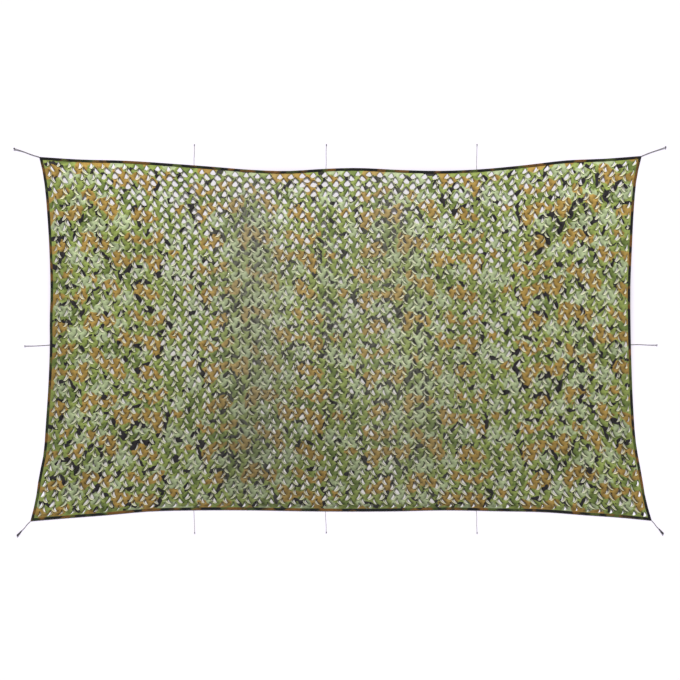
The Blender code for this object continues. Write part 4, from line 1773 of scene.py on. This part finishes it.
@dataclass
class Studio:
    """A pale floor with a painted shadow under the net, soft light from beyond the net's top edge, and the
    camera straight above.

    The floor's colours are display colours, and a tint is a light's own linear colour.
    """

    centre: Pair = (-0.0086, -0.0123)
    lens: float = 85.0
    sensor: float = 36.0
    view_width: float = 5.576
    clip: Pair = (0.5, 300.0)
    floor_radius: float = 110.0
    floor_corners: int = 96
    floor_level: float = -0.2 * MM
    floor_tone: Tone = (234, 231, 242)
    # painted shadow under the net: its colour near the bottom edge and near the top edge, where it lightens,
    # and the shaded oblong's half size and soft edge
    painted_shadow_tone: Tone = (190, 187, 186)
    painted_shadow_top_tone: Tone = (213, 210, 217)
    painted_shadow_fade: Pair = (0.30, 1.10)
    painted_shadow_half: Pair = (2.42, 1.42)
    painted_shadow_soft: float = 0.08
    sun_height: float = math.radians(38)
    sun_width: float = math.radians(9)
    sun_strength: float = 4.7
    sun_tint: Tone = (0.985, 0.97, 0.965)
    fill_tint: Tone = (0.94, 0.92, 0.97)
    fill_strength: float = 0.40

    def camera(self) -> None:
        """Looks straight down with the net's top edge up, from where the lens takes in the photo's width."""
        data = bpy.data.cameras.new("camera")
        data.lens, data.sensor_width = self.lens, self.sensor
        data.clip_start, data.clip_end = self.clip
        made = bpy.data.objects.new("camera", data)
        made.location = (*self.centre, self.view_width * self.lens / self.sensor)
        bpy.context.scene.collection.objects.link(made)
        bpy.context.scene.camera = made

    def floor(self) -> None:
        """A wide flat disc with a painted shadow under the net, lighter towards the net's top edge."""
        number = np.arange(self.floor_corners)
        turn = 2 * math.pi * number / self.floor_corners
        points = np.column_stack((np.cos(turn), np.sin(turn), np.zeros(len(turn)))) * self.floor_radius
        points[:, 2] = self.floor_level
        made = make_piece("floor", points, [number[None]])
        material, graph, shader = new_material("pale floor", {"Roughness": 0.9, "Specular IOR Level": 0.1})
        parts = graph.add("ShaderNodeSeparateXYZ", graph.place()).outputs
        # painted shadow: darker inside the net's outline, lighter towards the top edge
        painted_shadow_mask = graph.math("MULTIPLY", *(
            graph.ramp(graph.math("ABSOLUTE", parts[axis]), half, half - self.painted_shadow_soft)
            for axis, half in zip("XY", self.painted_shadow_half)
        ))
        far = graph.ramp(parts["Y"], *self.painted_shadow_fade)
        painted_shadow = graph.mix(far, colour(self.painted_shadow_tone), colour(self.painted_shadow_top_tone))
        graph.feed(shader.inputs["Base Color"], graph.mix(painted_shadow_mask, colour(self.floor_tone), painted_shadow))
        made.data.materials.append(material)

    def lights(self) -> None:
        """A soft-edged sun over the net's top edge, and an even, slightly cool fill from all round."""
        lamp = bpy.data.lights.new("key", "SUN")
        lamp.energy = self.sun_strength
        lamp.angle = self.sun_width
        lamp.color = self.sun_tint
        made = bpy.data.objects.new("key", lamp)
        made.location = (0.0, 4.0, 4.0)
        made.rotation_euler = (self.sun_height - math.pi / 2, 0.0, 0.0)
        bpy.context.scene.collection.objects.link(made)
        world = bpy.data.worlds.new("studio")
        world.use_nodes = True
        background = world.node_tree.nodes["Background"]
        background.inputs["Color"].default_value = (*self.fill_tint, 1.0)
        background.inputs["Strength"].default_value = self.fill_strength
        bpy.context.scene.world = world
        bpy.context.scene.view_settings.view_transform = "Standard"


# ------------ putting it together


def dress(piece: Piece, material: bpy.types.Material, slot: str, *nodes: str) -> None:
    """Gives a piece its material, sets it on the net's body and lets it stand for CAD nodes.

    Args:
        piece: the piece.
        material: its material.
        slot: not used.
        nodes: the CAD nodes that it stands for.
    """
    piece.data.materials.append(material)
    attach(piece, "root")
    if nodes:
        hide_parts(*nodes)
    log.info("%s: %d faces", piece.name, len(piece.data.polygons))


def make_ties(outline: Outline, effects: Effects) -> None:
    """Args:
        outline: the net's edge.
        effects: the shared node groups.
    """
    cord_finish = CORD_FINISH.build(effects)
    end_finishes = {
        TieEnd.PLAIN: (KNOT_FINISH.build(effects), "cord"),
        TieEnd.LASHED: (WHIP_FINISH.build(effects), "lashing"),
    }
    for tie in list_ties():
        cord, path = tie.cord(outline)
        knot = tie.knot(outline)
        dress(cord, cord_finish, "cord", f"tie_{tie.name}")
        dress(knot, *end_finishes[tie.end], f"knot_{tie.name}")


def make_binding(outline: Outline, effects: Effects) -> None:
    """Makes and dresses the four strips and their stitches.

    Args:
        outline: the net's edge.
        effects: the shared node groups.
    """
    binding = Binding(outline)
    strip_finish, thread_finish = EdgeStrip().build(effects), THREAD_FINISH.build(effects)
    for name in SideName:
        dress(binding.strip(name), strip_finish, "binding", f"binding_{name.value}")
        dress(binding.stitches(name), thread_finish, "binding")


def make_cloth(outline: Outline, effects: Effects) -> None:
    """Args:
        outline: the net's edge.
        effects: the shared node groups.
    """
    slit_cloth = SlitCloth(ClothMap(outline, GroundFolds()), Openness(), Greying(), PrintChart())
    finish = PrintedCloth().build(effects, slit_cloth.metres_per_map)
    for piece in slit_cloth.build():
        dress(piece, finish, "slit_cloth", "net_panel")
        area = slit_cloth.flat_area(piece)
        log.info("%s: %.3f square metres of cloth", piece.name, area)


def main() -> None:
    """Builds the studio, the ties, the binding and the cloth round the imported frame."""
    logging.basicConfig(level=logging.INFO, format="%(name)s: %(message)s")
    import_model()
    studio = Studio()
    studio.camera()
    outline = Outline()
    effects = Effects()
    make_ties(outline, effects)
    make_binding(outline, effects)
    make_cloth(outline, effects)
    studio.floor()
    studio.lights()
    bpy.context.view_layer.update()


if __name__ == "__main__":
    main()
